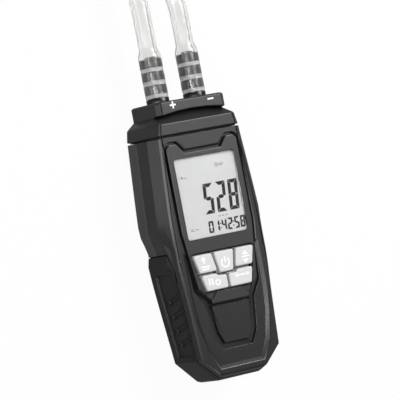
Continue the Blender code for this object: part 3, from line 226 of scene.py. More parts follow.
def makeClearPvc():
    # plasticised PVC, extruded: clear but slightly milky, with faint lines drawn along its length
    spec = clearPvcSpec
    material, tree, surface = newMaterial("clearPvc")
    uv = addNode(tree, "ShaderNodeUVMap", {"uv_map": "along"}).outputs[0]
    stretch = addNode(tree, "ShaderNodeMapping", {"Scale": spec["waves"]}, {"Vector": uv})
    lines = addNode(
        tree, "ShaderNodeTexNoise", {"Scale": 1.0, "Detail": 2.0}, {"Vector": stretch.outputs[0]}
    )
    bump = addNode(
        tree,
        "ShaderNodeBump",
        {"Strength": spec["bumpStrength"], "Distance": spec["bump"] * mm},
        {"Height": lines.outputs["Fac"]},
    )
    polish = addNode(
        tree,
        "ShaderNodeMapRange",
        {"To Min": spec["smooth"], "To Max": spec["rough"]},
        {"Value": lines.outputs["Fac"]},
    )
    # painted highlight: the hose is made milkier in a ring over each barb's air pocket, standing in for
    # the light that the pocket throws back
    paintedHighlightMask = addNode(tree, "ShaderNodeAttribute", {"attribute_name": "paintedHighlightMask"})
    clearness = addNode(
        tree,
        "ShaderNodeMapRange",
        {"To Min": spec["clear"], "To Max": spec["paintedHighlight"]},
        {"Value": paintedHighlightMask.outputs["Fac"]},
    )
    shader = addNode(
        tree,
        "ShaderNodeBsdfPrincipled",
        {"Base Color": linear(spec["colour"]), "IOR": 1.45, "Transmission Weight": spec["clear"]},
        {
            "Normal": bump.outputs[0],
            "Roughness": polish.outputs[0],
            "Transmission Weight": clearness.outputs[0],
        },
    )
    tree.links.new(shader.outputs[0], surface)
    return material


paneSpec = {"colour": "#ffffff", "haze": 14.0, "smooth": 0.03, "rough": 0.07, "ior": 1.2}


def makePane():
    # hard-coated acrylic window, bloomed so that little light comes back from it
    spec = paneSpec
    material, tree, surface = newMaterial("acrylicPane")
    where = addNode(tree, "ShaderNodeTexCoord").outputs["Object"]
    haze = addNode(tree, "ShaderNodeTexNoise", {"Scale": 1000 / spec["haze"]}, {"Vector": where})
    polish = addNode(
        tree,
        "ShaderNodeMapRange",
        {"To Min": spec["smooth"], "To Max": spec["rough"]},
        {"Value": haze.outputs["Fac"]},
    )
    shader = addNode(
        tree,
        "ShaderNodeBsdfPrincipled",
        {"Base Color": linear(spec["colour"]), "IOR": spec["ior"], "Transmission Weight": 1.0},
        {"Roughness": polish.outputs[0]},
    )
    tree.links.new(shader.outputs[0], surface)
    return material


filmSpec = {
    "dark": "#e0e0e0", "light": "#e8e8e8", "roughness": 0.5, "across": 0.9, "along": 12.0,
    "through": 10.0,
}


def makeDisplayFilm():
    # reflective liquid crystal display: pale grey polariser over a brushed reflector
    spec = filmSpec
    material, tree, surface = newMaterial("displayFilm")
    where = addNode(tree, "ShaderNodeTexCoord").outputs["Object"]
    scale = (1000 / spec["across"], 1000 / spec["along"], 1000 / spec["through"])
    stretch = addNode(tree, "ShaderNodeMapping", {"Scale": scale}, {"Vector": where})
    brushed = addNode(tree, "ShaderNodeTexNoise", {"Scale": 1.0}, {"Vector": stretch.outputs[0]})
    colour = addNode(
        tree,
        "ShaderNodeMix",
        {"data_type": "RGBA", 6: linear(spec["dark"]), 7: linear(spec["light"])},
        {0: brushed.outputs["Fac"]},
    )
    shader = addNode(
        tree,
        "ShaderNodeBsdfPrincipled",
        {"Roughness": spec["roughness"]},
        {"Base Color": colour.outputs[2]},
    )
    tree.links.new(shader.outputs[0], surface)
    return material


coats = {
    # liquid crystal where it is switched dark
    "segmentInk": {
        "dark": "#101011", "light": "#19191b", "roughness": 0.55, "slot": "display_grey",
    },
    # liquid crystal of the small marks, thinner and so paler
    "paleInk": {"dark": "#8b8b8c", "light": "#959596", "roughness": 0.55, "slot": "display_grey"},
    # white ink, pad-printed on the keys and the port block
    "whiteInk": {"dark": "#f4f4f4", "light": "#fcfcfc", "roughness": 0.5, "slot": "key_grey"},
    # solder mask on a glass-epoxy board: a thin green lacquer
    "boardGreen": {"dark": "#1f5a35", "light": "#2a6c42", "roughness": 0.4, "slot": "board_green"},
    # plain plastic sleeve, shrunk round each cell
    "plasticJacket": {
        "dark": "#3a3c44", "light": "#44464f", "roughness": 0.35, "slot": "cell_jacket",
    },
}
coatMottle = 1.5


def makeCoat(name, spec):
    # a thin coat of one flat colour that is never quite even
    material, tree, surface = newMaterial(name)
    where = addNode(tree, "ShaderNodeTexCoord").outputs["Object"]
    mottle = addNode(tree, "ShaderNodeTexNoise", {"Scale": 1000 / coatMottle}, {"Vector": where})
    colour = addNode(
        tree,
        "ShaderNodeMix",
        {"data_type": "RGBA", 6: linear(spec["dark"]), 7: linear(spec["light"])},
        {0: mottle.outputs["Fac"]},
    )
    shader = addNode(
        tree,
        "ShaderNodeBsdfPrincipled",
        {"Roughness": spec["roughness"]},
        {"Base Color": colour.outputs[2]},
    )
    tree.links.new(shader.outputs[0], surface)
    return material


metals = {
    # nickel-plated spring steel: bright, with fine lines from the drawing of the wire
    "springSteel": {
        "dark": "#b4b4b2", "light": "#cccccb", "roughness": 0.28, "grain": 0.4,
        "slot": "spring_steel",
    },
    # zinc-plated steel of the screws, greyer and duller
    "zincScrew": {
        "dark": "#9c9c9e", "light": "#b8b8ba", "roughness": 0.34, "grain": 0.3,
        "slot": "screw_steel",
    },
}
metalGlossSpread = 0.08


def makeMetal(name, spec):
    material, tree, surface = newMaterial(name)
    where = addNode(tree, "ShaderNodeTexCoord").outputs["Object"]
    lines = addNode(
        tree, "ShaderNodeTexNoise", {"Scale": 1000 / spec["grain"], "Detail": 4.0}, {"Vector": where}
    )
    colour = addNode(
        tree,
        "ShaderNodeMix",
        {"data_type": "RGBA", 6: linear(spec["dark"]), 7: linear(spec["light"])},
        {0: lines.outputs["Fac"]},
    )
    polish = addNode(
        tree,
        "ShaderNodeMapRange",
        {
            "To Min": spec["roughness"] - metalGlossSpread,
            "To Max": spec["roughness"] + metalGlossSpread,
        },
        {"Value": lines.outputs["Fac"]},
    )
    shader = addNode(
        tree,
        "ShaderNodeBsdfPrincipled",
        {"Metallic": 1.0},
        {"Base Color": colour.outputs[2], "Roughness": polish.outputs[0]},
    )
    tree.links.new(shader.outputs[0], surface)
    return material


materials = {name: makePlastic(name, spec) for name, spec in plastics.items()}
materials["clearPvc"] = makeClearPvc()
materials["acrylicPane"] = makePane()
materials["displayFilm"] = makeDisplayFilm()
for name, spec in coats.items():
    materials[name] = makeCoat(name, spec)
for name, spec in metals.items():
    materials[name] = makeMetal(name, spec)

print("materials made")


# Mouldings: the frame's own solids with rounded edges

def newPiece(name, mesh, material, body="meter", smooth=True):
    if isinstance(mesh, bmesh.types.BMesh):
        made = bpy.data.meshes.new(name)
        mesh.to_mesh(made)
        mesh.free()
        mesh = made
        if smooth:
            mesh.shade_smooth()
    mesh.materials.clear()
    mesh.materials.append(materials[material])
    piece = bpy.data.objects.new(name, mesh)
    bpy.context.scene.collection.objects.link(piece)
    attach(piece, body)
    return piece


def evaluatedMesh(thing):
    # the mesh as its modifiers leave it; the object that carried them is removed
    bpy.context.view_layer.update()
    graph = bpy.context.evaluated_depsgraph_get()
    mesh = bpy.data.meshes.new_from_object(thing.evaluated_get(graph), depsgraph=graph)
    bpy.data.objects.remove(thing, do_unlink=True)
    return mesh


edgeBreak = {
    # widths of the rounding in millimetres, and its count of segments
    "width": 0.28, "boot": 0.15, "key": 0.35, "panelPocket": 0.9, "segments": 2,
    # degrees between two faces, from which an edge is rounded or shaded sharp
    "corner": 26.0, "sharp": 13.0,
    # how far the pocket's rim may lie from the panel and under the field, and the merge distance
    "pocketReach": 1.3, "level": 0.05, "merge": 0.002,
}


def refined(node, material, body="meter", width=None, wide=None):
    # the same solid with its outer edges rounded; wide picks edges that are rounded more
    spec = edgeBreak
    width = width or spec["width"]
    widest = max(width, spec["panelPocket"]) if wide else width
    bm = bmesh.new()
    bm.from_mesh(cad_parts[node].data)
    bmesh.ops.remove_doubles(bm, verts=bm.verts, dist=spec["merge"] * mm)
    weights = bm.edges.layers.float.new("bevel_weight_edge")
    for edge in bm.edges:
        corner = edge.calc_face_angle(0.0) if edge.is_manifold else 0.0
        edge.smooth = corner < math.radians(spec["sharp"])
        if corner > math.radians(spec["corner"]) and edge.is_convex:
            edge[weights] = 1.0 if wide and wide(edge) else width / widest
    for face in bm.faces:
        face.smooth = True
    mesh = bpy.data.meshes.new(node)
    bm.to_mesh(mesh)
    bm.free()
    carrier = bpy.data.objects.new(node + "_carrier", mesh)
    bpy.context.scene.collection.objects.link(carrier)
    rounding = carrier.modifiers.new("rounding", "BEVEL")
    rounding.width = widest * mm
    rounding.segments = spec["segments"]
    rounding.limit_method = "WEIGHT"
    rounding.use_clamp_overlap = False
    rounding.loop_slide = False
    shading = carrier.modifiers.new("shading", "WEIGHTED_NORMAL")
    shading.keep_sharp = True
    piece = newPiece(f"{node}_moulding", evaluatedMesh(carrier), material, body)
    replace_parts(piece, node)


panelLow, panelHigh = boxOf("bezel_panel")
fieldTop = boxOf("front_shell")[1].z


def bordersPanel(edge):
    # whether an edge is on the rim of the pocket that holds the panel
    reach = edgeBreak["pocketReach"]
    for vert in edge.verts:
        x, y, z = vert.co.x / mm, vert.co.y / mm - seamY, vert.co.z / mm
        if z < fieldTop - edgeBreak["level"]:
            return False
        if not panelLow.x - reach < x < panelHigh.x + reach:
            return False
        if not panelLow.y - reach < y < panelHigh.y + reach:
            return False
    return True


refined("front_shell", "absSatin", wide=bordersPanel)
refined("rear_shell", "absRearPaintedLight")
refined("head_cap", "absSatin")
refined("grip_boot", "rubberBoot", width=edgeBreak["boot"])
refined("bezel_panel", "absPanel")
refined("battery_cover", "absRearPaintedLight")

keyBodies = {node: node.replace("key_", "key_body_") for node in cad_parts
             if node.startswith("key_") and node != "key_mat"}
for node, body in keyBodies.items():
    refined(node, "keyGrey", body, edgeBreak["key"])

# the frame's solids that keep their shape and only get their material
finishes = {
    "cap_gasket": "gasketRubber", "lcd_window": "acrylicPane", "lcd_module": "displayFilm",
    "key_mat": "siliconeMat", "main_board": "boardGreen", "pressure_sensor": "epoxyBlack",
    "nozzle_nut_plus": "nylonBlack", "nozzle_nut_minus": "nylonBlack",
    "sensor_tube_plus": "clearPvc", "sensor_tube_minus": "clearPvc",
}
for number in (1, 2, 3):
    finishes[f"battery_{number}"] = "plasticJacket"
    finishes[f"battery_contact_{number}"] = "springSteel"
for node, finish in finishes.items():
    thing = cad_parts[node]
    thing.data.materials.clear()
    thing.data.materials.append(materials[finish])

print("mouldings made")


# Nozzles: each is turned, with three barbs that hold the hose

nozzleLow, nozzleHigh = boxOf("nozzle_minus")
nozzleSpec = {
    "x": round((nozzleLow.x + nozzleHigh.x) / 2, 2), "z": round((nozzleLow.z + nozzleHigh.z) / 2, 2),
    "base": 20.1, "collarRadius": 6.4, "collar": 2.5, "edge": 0.4, "edgeShare": 0.3,
    "rootRadius": 3.5, "barbRadius": 4.7, "neckRadius": 4.25, "pitch": 7.4, "barbs": 3,
    "pocket": 1.7, "plateau": 3.7, "lip": 0.1, "lipRun": 0.15, "flank": 0.05,
    "tipRadius": 3.0, "tip": 1.0, "boreRadius": 1.9, "boreTaper": 0.5,
    "stemRadius": 4.2, "stemLow": 12.3, "stubRadius": 2.4, "stubLow": 4.8, "sides": 56, "sharp": 32.0,
}


def barbRows():
    # radius and distance of each barb: a root, a steep face, a plateau and a slope to its neck
    spec = nozzleSpec
    root, barb, neck = spec["rootRadius"], spec["barbRadius"], spec["neckRadius"]
    rows = []
    for number in range(spec["barbs"]):
        start = spec["base"] + spec["collar"] + number * spec["pitch"]
        end = start + spec["pitch"]
        rows += [
            (root, start + spec["pocket"] - spec["flank"]),
            (barb - spec["lip"], start + spec["pocket"]),
            (barb, start + spec["pocket"] + spec["lipRun"]),
            (barb, start + spec["plateau"]),
            (neck, end - spec["lip"]),
            (neck - spec["lip"], end),
            (root, end + spec["flank"]),
        ]
    return rows


def turned(name, rows, x, z, sides, material):
    # a closed profile of radius and distance along the body, turned about a line along the body
    bm = bmesh.new()
    rings = []
    for radius, y in rows:
        ring = []
        for k in range(sides):
            a = 2 * math.pi * k / sides
            ring.append(bm.verts.new(place(x + radius * math.cos(a), y, z + radius * math.sin(a))))
        rings.append(ring)
    for low, high in zip(rings, rings[1:] + rings[:1]):
        for k in range(sides):
            j = (k + 1) % sides
            bm.faces.new((low[k], low[j], high[j], high[k]))
    bmesh.ops.recalc_face_normals(bm, faces=bm.faces)
    piece = newPiece(name, bm, material)
    piece.data.set_sharp_from_angle(angle=math.radians(nozzleSpec["sharp"]))
    return piece


def makeNozzle(sign, side):
    spec = nozzleSpec
    base, collarEnd, edge = spec["base"], spec["base"] + spec["collar"], spec["edge"]
    tip = collarEnd + spec["barbs"] * spec["pitch"] + spec["tip"]
    bevel = spec["edgeShare"] * edge
    outside = [
        (spec["collarRadius"], base),
        (spec["collarRadius"], collarEnd - edge),
        (spec["collarRadius"] - bevel, collarEnd - bevel),
        (spec["collarRadius"] - edge, collarEnd),
        (spec["rootRadius"], collarEnd),
    ]
    inside = [
        (spec["tipRadius"], tip),
        (spec["boreRadius"], tip),
        (spec["boreRadius"] - spec["boreTaper"], spec["stubLow"]),
        (spec["stubRadius"], spec["stubLow"]),
        (spec["stubRadius"], spec["stemLow"]),
        (spec["stemRadius"], spec["stemLow"]),
        (spec["stemRadius"], base),
    ]
    rows = outside + barbRows() + inside
    piece = turned(
        f"nozzle_{sign}_turned", rows, side * spec["x"], spec["z"], spec["sides"], "nylonBlack"
    )
    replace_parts(piece, f"nozzle_{sign}")


makeNozzle("plus", -1)
makeNozzle("minus", 1)


# Hoses: each is stretched over its nozzle, and lies folded past the ports

# the milky ring is the length along each barb, from its start, that carries the painted highlight
hoseSpec = {
    "radius": 5.0, "bore": 3.2, "sleeveRadius": 6.4, "sleeveStart": 22.9, "sleeveEnd": 45.6,
    "taperEnd": 50.4, "taperRows": 12, "squeeze": 0.04, "pocketDip": 0.1, "pocketLift": 0.75,
    "paintedHighlightRing": 2.3, "routeStart": 49.4, "step": 0.3, "perSpan": 7, "sides": 44, "sharp": 50.0,
}
# height of a hose's middle where it lies on the table
lie = 5.1
hoseRoutes = {
    "plus": [
        (-12.1, 49.4, 17.0), (-12.1, 62.0, 17.0), (-12.2, 76.0, 16.6), (-13.6, 88.0, 15.2),
        (-17.4, 101.0, 12.6), (-23.7, 115.0, 9.6), (-30.5, 128.0, 7.2), (-36.2, 142.0, 5.6),
        (-39.5, 157.0, lie), (-40.5, 173.0, lie), (-40.5, 191.0, lie), (-40.5, 208.0, lie),
        (-37.4, 223.5, lie), (-28.6, 236.6, lie), (-15.5, 245.4, lie), (0.0, 248.5, lie),
        (15.5, 245.4, lie), (28.6, 236.6, lie), (37.4, 223.5, lie), (40.5, 208.0, lie),
        (40.5, 183.0, lie), (40.5, 158.0, lie), (40.5, 133.0, lie), (40.5, 108.0, lie),
    ],
    "minus": [
        (12.1, 49.4, 17.0), (12.1, 61.0, 17.0), (11.7, 74.0, 16.6), (8.9, 87.0, 15.2),
        (2.8, 100.5, 12.8), (-5.6, 114.0, 10.0), (-14.6, 127.0, 7.5), (-22.4, 141.0, 5.8),
        (-28.0, 156.0, lie), (-30.2, 172.0, lie), (-30.2, 190.0, lie), (-30.2, 208.0, lie),
        (-27.9, 219.6, lie), (-21.4, 229.4, lie), (-11.6, 235.9, lie), (0.0, 238.2, lie),
        (11.6, 235.9, lie), (21.4, 229.4, lie), (27.9, 219.6, lie), (30.2, 208.0, lie),
        (30.2, 184.0, lie), (30.2, 160.0, lie), (30.2, 136.0, lie), (30.2, 112.0, lie),
        (30.2, 85.0, lie),
    ],
}


def smoothRoute(points, perSpan):
    # a smooth curve through all the points
    ends = [points[0]] + points + [points[-1]]
    route = []
    for i in range(1, len(ends) - 2):
        p0, p1, p2, p3 = (Vector(ends[i + k]) for k in (-1, 0, 1, 2))
        for k in range(perSpan):
            t = k / perSpan
            route.append(
                0.5 * (2 * p1 + (p2 - p0) * t + (2 * p0 - 5 * p1 + 4 * p2 - p3) * t * t
                       + (3 * p1 - p0 - 3 * p2 + p3) * t ** 3)
            )
    route.append(Vector(points[-1]))
    return route


def eased(value, low, high):
    share = min(max((value - low) / (high - low), 0.0), 1.0)
    return share * share * (3 - 2 * share)


barbsStart = nozzleSpec["base"] + nozzleSpec["collar"]
barbsEnd = barbsStart + nozzleSpec["barbs"] * nozzleSpec["pitch"]


def hoseRadii(y):
    # outer and inner radius of a hose: tight on each barb, with an air pocket behind it
    spec, barb = hoseSpec, nozzleSpec
    ease = eased(y, spec["sleeveEnd"], spec["taperEnd"])
    outer = spec["sleeveRadius"] + (spec["radius"] - spec["sleeveRadius"]) * ease
    if y >= barbsEnd:
        return outer, barb["neckRadius"] + (spec["bore"] - barb["neckRadius"]) * ease
    u = (y - barbsStart) % barb["pitch"]
    if u < barb["pocket"]:
        lift = math.sin(math.pi * u / barb["pocket"])
        return outer - spec["pocketDip"] * lift, barb["neckRadius"] + spec["pocketLift"] * lift
    fall = min(max((u - barb["plateau"]) / (barb["pitch"] - barb["plateau"]), 0.0), 1.0)
    grip = barb["barbRadius"] - spec["squeeze"]
    return outer, grip + (barb["neckRadius"] - barb["barbRadius"]) * fall


def makeHose(sign, side):
    spec = hoseSpec
    reach = spec["routeStart"] - spec["sleeveStart"]
    steps = round(reach / spec["step"])
    start = [
        Vector((side * nozzleSpec["x"], spec["sleeveStart"] + reach * i / steps, nozzleSpec["z"]))
        for i in range(steps)
    ]
    path = start + smoothRoute(hoseRoutes[sign], spec["perSpan"])
    bm = bmesh.new()
    uvLayer = bm.loops.layers.uv.new("along")
    paintedHighlightLayer = bm.verts.layers.float.new("paintedHighlightMask")
    n = spec["sides"]
    rows = []
    distance = 0.0
    for i, p in enumerate(path):
        ahead = (path[min(i + 1, len(path) - 1)] - path[max(i - 1, 0)]).normalized()
        across = ahead.cross(Vector((0, 0, 1))).normalized()
        up = across.cross(ahead)
        if i:
            distance += (p - path[i - 1]).length
        onNozzle = i < steps + spec["taperRows"]
        outer, inner = hoseRadii(p.y) if onNozzle else (spec["radius"], spec["bore"])
        # rows over each barb's air pocket carry the painted highlight
        paintedHighlight = p.y < barbsEnd and (p.y - barbsStart) % nozzleSpec["pitch"] < spec["paintedHighlightRing"]
        rings = []
        for radius in (outer, inner):
            ring = []
            for k in range(n):
                a = 2 * math.pi * k / n
                corner = p + radius * (across * math.cos(a) + up * math.sin(a))
                vert = bm.verts.new(place(*corner))
                vert[paintedHighlightLayer] = 1.0 if paintedHighlight else 0.0
                ring.append(vert)
            rings.append(ring)
        rows.append((rings[0], rings[1], distance * mm))

    def quad(corners, k, near, far):
        # one face, with its share of the way round and its distance along the hose
        face = bm.faces.new(corners)
        places = ((k / n, near), ((k + 1) / n, near), ((k + 1) / n, far), (k / n, far))
        for loop, uv in zip(face.loops, places):
            loop[uvLayer].uv = uv

    for low, high in zip(rows, rows[1:]):
        for k in range(n):
            j = (k + 1) % n
            for wall in (0, 1):
                corners = (low[wall][k], low[wall][j], high[wall][j], high[wall][k])
                quad(corners, k, low[2], high[2])
    for outerRing, innerRing, at in (rows[0], rows[-1]):
        for k in range(n):
            j = (k + 1) % n
            quad((outerRing[k], outerRing[j], innerRing[j], innerRing[k]), k, at, at)
    bmesh.ops.recalc_face_normals(bm, faces=bm.faces)
    piece = newPiece(f"hose_{sign}_tube", bm, "clearPvc")
    piece.data.set_sharp_from_angle(angle=math.radians(spec["sharp"]))
    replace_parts(piece, f"hose_{sign}", f"hose_end_{sign}")


makeHose("plus", -1)
makeHose("minus", 1)


# Prints: flat shapes a few hundredths of a millimetre thick

def bar(start, end, width):
    # a straight stroke
    a, b = Vector(start), Vector(end)
    along = (b - a).normalized()
    side = Vector((-along.y, along.x)) * width / 2
    return [a - side, b - side, b + side, a + side]


def disc(centre, radius, sides=24):
    angles = [2 * math.pi * k / sides for k in range(sides)]
    return [Vector(centre) + radius * Vector((math.cos(a), math.sin(a))) for a in angles]


def arc(centre, radius, width, start=0, end=360, steps=32):
    # a curved stroke between two angles in degrees
    angles = [math.radians(start + (end - start) * k / steps) for k in range(steps + 1)]
    ways = [Vector((math.cos(a), math.sin(a))) for a in angles]
    outer = [Vector(centre) + (radius + width / 2) * way for way in ways]
    inner = [Vector(centre) + (radius - width / 2) * way for way in ways]
    return outer + inner[::-1]


def printed(name, shapes, z, thickness, material, body="meter"):
    bm = bmesh.new()
    for shape in shapes:
        low = [bm.verts.new(place(p[0], p[1], z)) for p in shape]
        high = [bm.verts.new(place(p[0], p[1], z + thickness)) for p in shape]
        bm.faces.new(low[::-1])
        bm.faces.new(high)
        for k in range(len(shape)):
            j = (k + 1) % len(shape)
            bm.faces.new((low[k], low[j], high[j], high[k]))
    bmesh.ops.recalc_face_normals(bm, faces=bm.faces)
    newPiece(name, bm, material, body, smooth=False)


# which of its seven bars each figure shows: a on top, then clockwise to f, and g in the middle
digitBars = {
    "0": "abcdef", "1": "bc", "2": "abged", "4": "fgbc", "5": "afgcd", "8": "abcdefg",
}


def digit(figure, left, bottom, size):
    # a seven-bar figure that leans a little
    w, h, t, g = size["width"], size["height"], size["stroke"], size["gap"]
    half, m = t / 2, h / 2
    outlines = {
        "a": [(g, h), (w - g, h), (w - t - g, h - t), (t + g, h - t)],
        "b": [(w, h - g), (w, m + g), (w - half, m + g), (w - t, m + half + g), (w - t, h - t - g)],
        "c": [(w, g), (w - t, t + g), (w - t, m - half - g), (w - half, m - g), (w, m - g)],
        "d": [(g, 0), (t + g, t), (w - t - g, t), (w - g, 0)],
        "e": [(0, g), (0, m - g), (half, m - g), (t, m - half - g), (t, t + g)],
        "f": [(0, h - g), (t, h - t - g), (t, m + half + g), (half, m + g), (0, m + g)],
        "g": [(half + g, m), (t + g, m + half), (w - t - g, m + half), (w - half - g, m),
              (w - t - g, m - half), (t + g, m - half)],
    }
    return [[(left + x + size["lean"] * y, bottom + y) for x, y in outlines[letter]]
            for letter in digitBars[figure]]


displaySpec = {
    "lift": 0.03, "thickness": 0.04,
    "big": {
        "width": 6.3, "height": 16.8, "stroke": 2.05, "gap": 0.123, "lean": 0.09,
        "figures": "528", "starts": (-5.2, 3.0, 11.1), "bottom": -45.5,
    },
    "small": {
        "width": 3.2, "height": 6.5, "stroke": 1.08, "gap": 0.0648, "lean": 0.07,
        "figures": "014258", "starts": (-4.9, -1.0, 3.7, 7.6, 12.1, 16.0), "bottom": -56.0,
    },
    "colons": (3.0, 11.4), "colonHeights": (1.9, 4.2), "colonRadius": 0.42,
    "clock": (7.6, -19.4), "clockRadius": 0.95, "clockStroke": 0.35, "hand": 0.3,
    "markStroke": 0.45, "dashStroke": 0.5, "dashes": (2.9, 5.2, 7.5), "dash": 1.3, "dashY": -47.6,
}


def makeDisplay():
    spec = displaySpec
    z = boxOf("lcd_module")[1].z + spec["lift"]
    shapes = []
    for size in (spec["big"], spec["small"]):
        for figure, left in zip(size["figures"], size["starts"]):
            shapes += digit(figure, left, size["bottom"], size)
    small = spec["small"]
    for x in spec["colons"]:
        for y in spec["colonHeights"]:
            centre = (x + small["lean"] * y, small["bottom"] + y)
            shapes.append(disc(centre, spec["colonRadius"], 12))
    printed("display_figures", shapes, z, spec["thickness"], "segmentInk")
    stroke, (x, y) = spec["markStroke"], spec["clock"]
    marks = [
        # a small clock over the reading, with two strokes beside it
        arc((x, y), spec["clockRadius"], spec["clockStroke"], steps=24),
        bar((x, y), (x, y + 0.65), spec["hand"]),
        bar((x - 0.1, y), (x + 0.5, y), spec["hand"]),
        bar((9.3, -19.0), (12.2, -19.0), stroke),
        bar((9.3, -19.9), (11.4, -19.9), stroke),
        # a pointer at the left
        [(-16.7, -23.9), (-15.0, -23.9), (-15.85, -22.3)],
        bar((-14.6, -23.6), (-13.2, -23.6), stroke),
        # three strokes at the lower left
        bar((-16.4, -52.2), (-14.9, -52.2), stroke),
        bar((-16.4, -53.1), (-14.1, -53.1), stroke),
        bar((-13.4, -52.65), (-11.4, -52.65), stroke),
    ]
    # a row of dashes over the small figures
    for start in spec["dashes"]:
        ends = (start, spec["dashY"]), (start + spec["dash"], spec["dashY"])
        marks.append(bar(*ends, spec["dashStroke"]))
    printed("display_marks", marks, z, spec["thickness"], "paleInk")


makeDisplay()

legendSpec = {"thickness": 0.05, "sink": 0.01}
legends = {
    # a lamp over two lines of light
    "key_lamp": [
        disc((-13.9, -69.3), 1.25),
        bar((-13.9, -70.9), (-13.9, -71.6), 1.1),
        bar((-16.2, -73.4), (-10.4, -73.4), 0.75),
        bar((-15.6, -74.8), (-11.0, -74.8), 0.75),
    ],
    # an open ring with a stroke, for on and off
    "key_power": [
        arc((-0.2, -73.1), 2.5, 0.8, 125, 415),
        bar((-0.2, -69.8), (-0.2, -73.0), 0.8),
    ],
    # arrows up and down from a line, for the highest and lowest reading
    "key_peak": [
        [(11.2, -70.9), (15.4, -70.9), (13.3, -68.6)],
        bar((10.6, -72.1), (16.0, -72.1), 0.7),
        [(10.9, -73.5), (13.0, -75.8), (15.1, -73.5)],
    ],
    # two upright strokes to hold, and a ring for zero
    "key_hold": [
        bar((-12.6, -80.3), (-12.6, -83.9), 1.0),
        bar((-10.7, -80.3), (-10.7, -83.9), 1.0),
        arc((-7.3, -83.1), 1.35, 0.75, steps=28),
    ],
    # a double arrow to change the units
    "key_units": [
        bar((5.9, -81.5), (12.3, -81.5), 0.75),
        [(12.1, -80.4), (12.1, -82.6), (14.1, -81.5)],
        [(6.1, -80.4), (4.1, -81.5), (6.1, -82.6)],
    ],
}
for node, shapes in legends.items():
    z = boxOf(node)[1].z - legendSpec["sink"]
    printed(node + "_legend", shapes, z, legendSpec["thickness"], "whiteInk", keyBodies[node])

portSigns = {
    # blockTop is the height of the port block's front face, which carries both signs
    "blockTop": 32.3, "y": 17.15, "aside": 0.3, "reach": 1.95, "stroke": 0.95, "sink": 0.01,
    "thickness": 0.06,
}


def makePortSigns():
    spec = portSigns
    x, y, reach, stroke = nozzleSpec["x"] + spec["aside"], spec["y"], spec["reach"], spec["stroke"]
    z = spec["blockTop"] - spec["sink"]
    plus = [
        bar((-x - reach, y), (-x + reach, y), stroke),
        bar((-x, y + stroke / 2), (-x, y + reach), stroke),
        bar((-x, y - reach), (-x, y - stroke / 2), stroke),
    ]
    minus = [bar((x - reach, y), (x + reach, y), stroke)]
    printed("plus_sign", plus, z, spec["thickness"], "whiteInk")
    printed("minus_sign", minus, z, spec["thickness"], "whiteInk")


makePortSigns()

print("prints made")


# Screws and springs, by Geometry Nodes

def newTree(name, sizes):
    # a node group with inputs for the places, for each size and for the material
    tree = bpy.data.node_groups.new(name, "GeometryNodeTree")
    tree.interface.new_socket("Geometry", in_out="INPUT", socket_type="NodeSocketGeometry")
    for label in sizes:
        tree.interface.new_socket(label, in_out="INPUT", socket_type="NodeSocketFloat")
    tree.interface.new_socket("Material", in_out="INPUT", socket_type="NodeSocketMaterial")
    tree.interface.new_socket("Geometry", in_out="OUTPUT", socket_type="NodeSocketGeometry")
    return tree, addNode(tree, "NodeGroupInput").outputs


def finishTree(tree, given, shape):
    # the shape on every place, made real, in its material
    copies = addNode(
        tree, "GeometryNodeInstanceOnPoints", links={"Points": given["Geometry"], "Instance": shape}
    )
    real = addNode(tree, "GeometryNodeRealizeInstances", links={0: copies.outputs[0]})
    painted = addNode(
        tree,
        "GeometryNodeSetMaterial",
        links={"Geometry": real.outputs[0], "Material": given["Material"]},
    )
    addNode(tree, "NodeGroupOutput", links={0: painted.outputs[0]})


screwSpec = {
    "shankRadius": 1.4, "pitch": 0.9, "runOut": 0.2, "headSides": 36, "shankSides": 28,
    "groups": {
        "rear_screws": {
            "nodes": [f"rear_screw_{i}" for i in (1, 2, 3, 4)], "headHeight": 1.8, "recess": 2.9,
        },
        "cover_screw": {"nodes": ["battery_cover_screw"], "headHeight": 0.7, "recess": 1.3},
    },
    # each of these is a share of another size
    "shares": {
        "halfHead": ("Head Height", 0.5), "slotWidth": ("Recess", 0.24),
        "slotDepth": ("Recess", 0.5), "core": ("Shank Radius", 0.82),
        "threadRadius": ("Shank Radius", 0.84), "crest": ("Pitch", 0.3),
    },
}


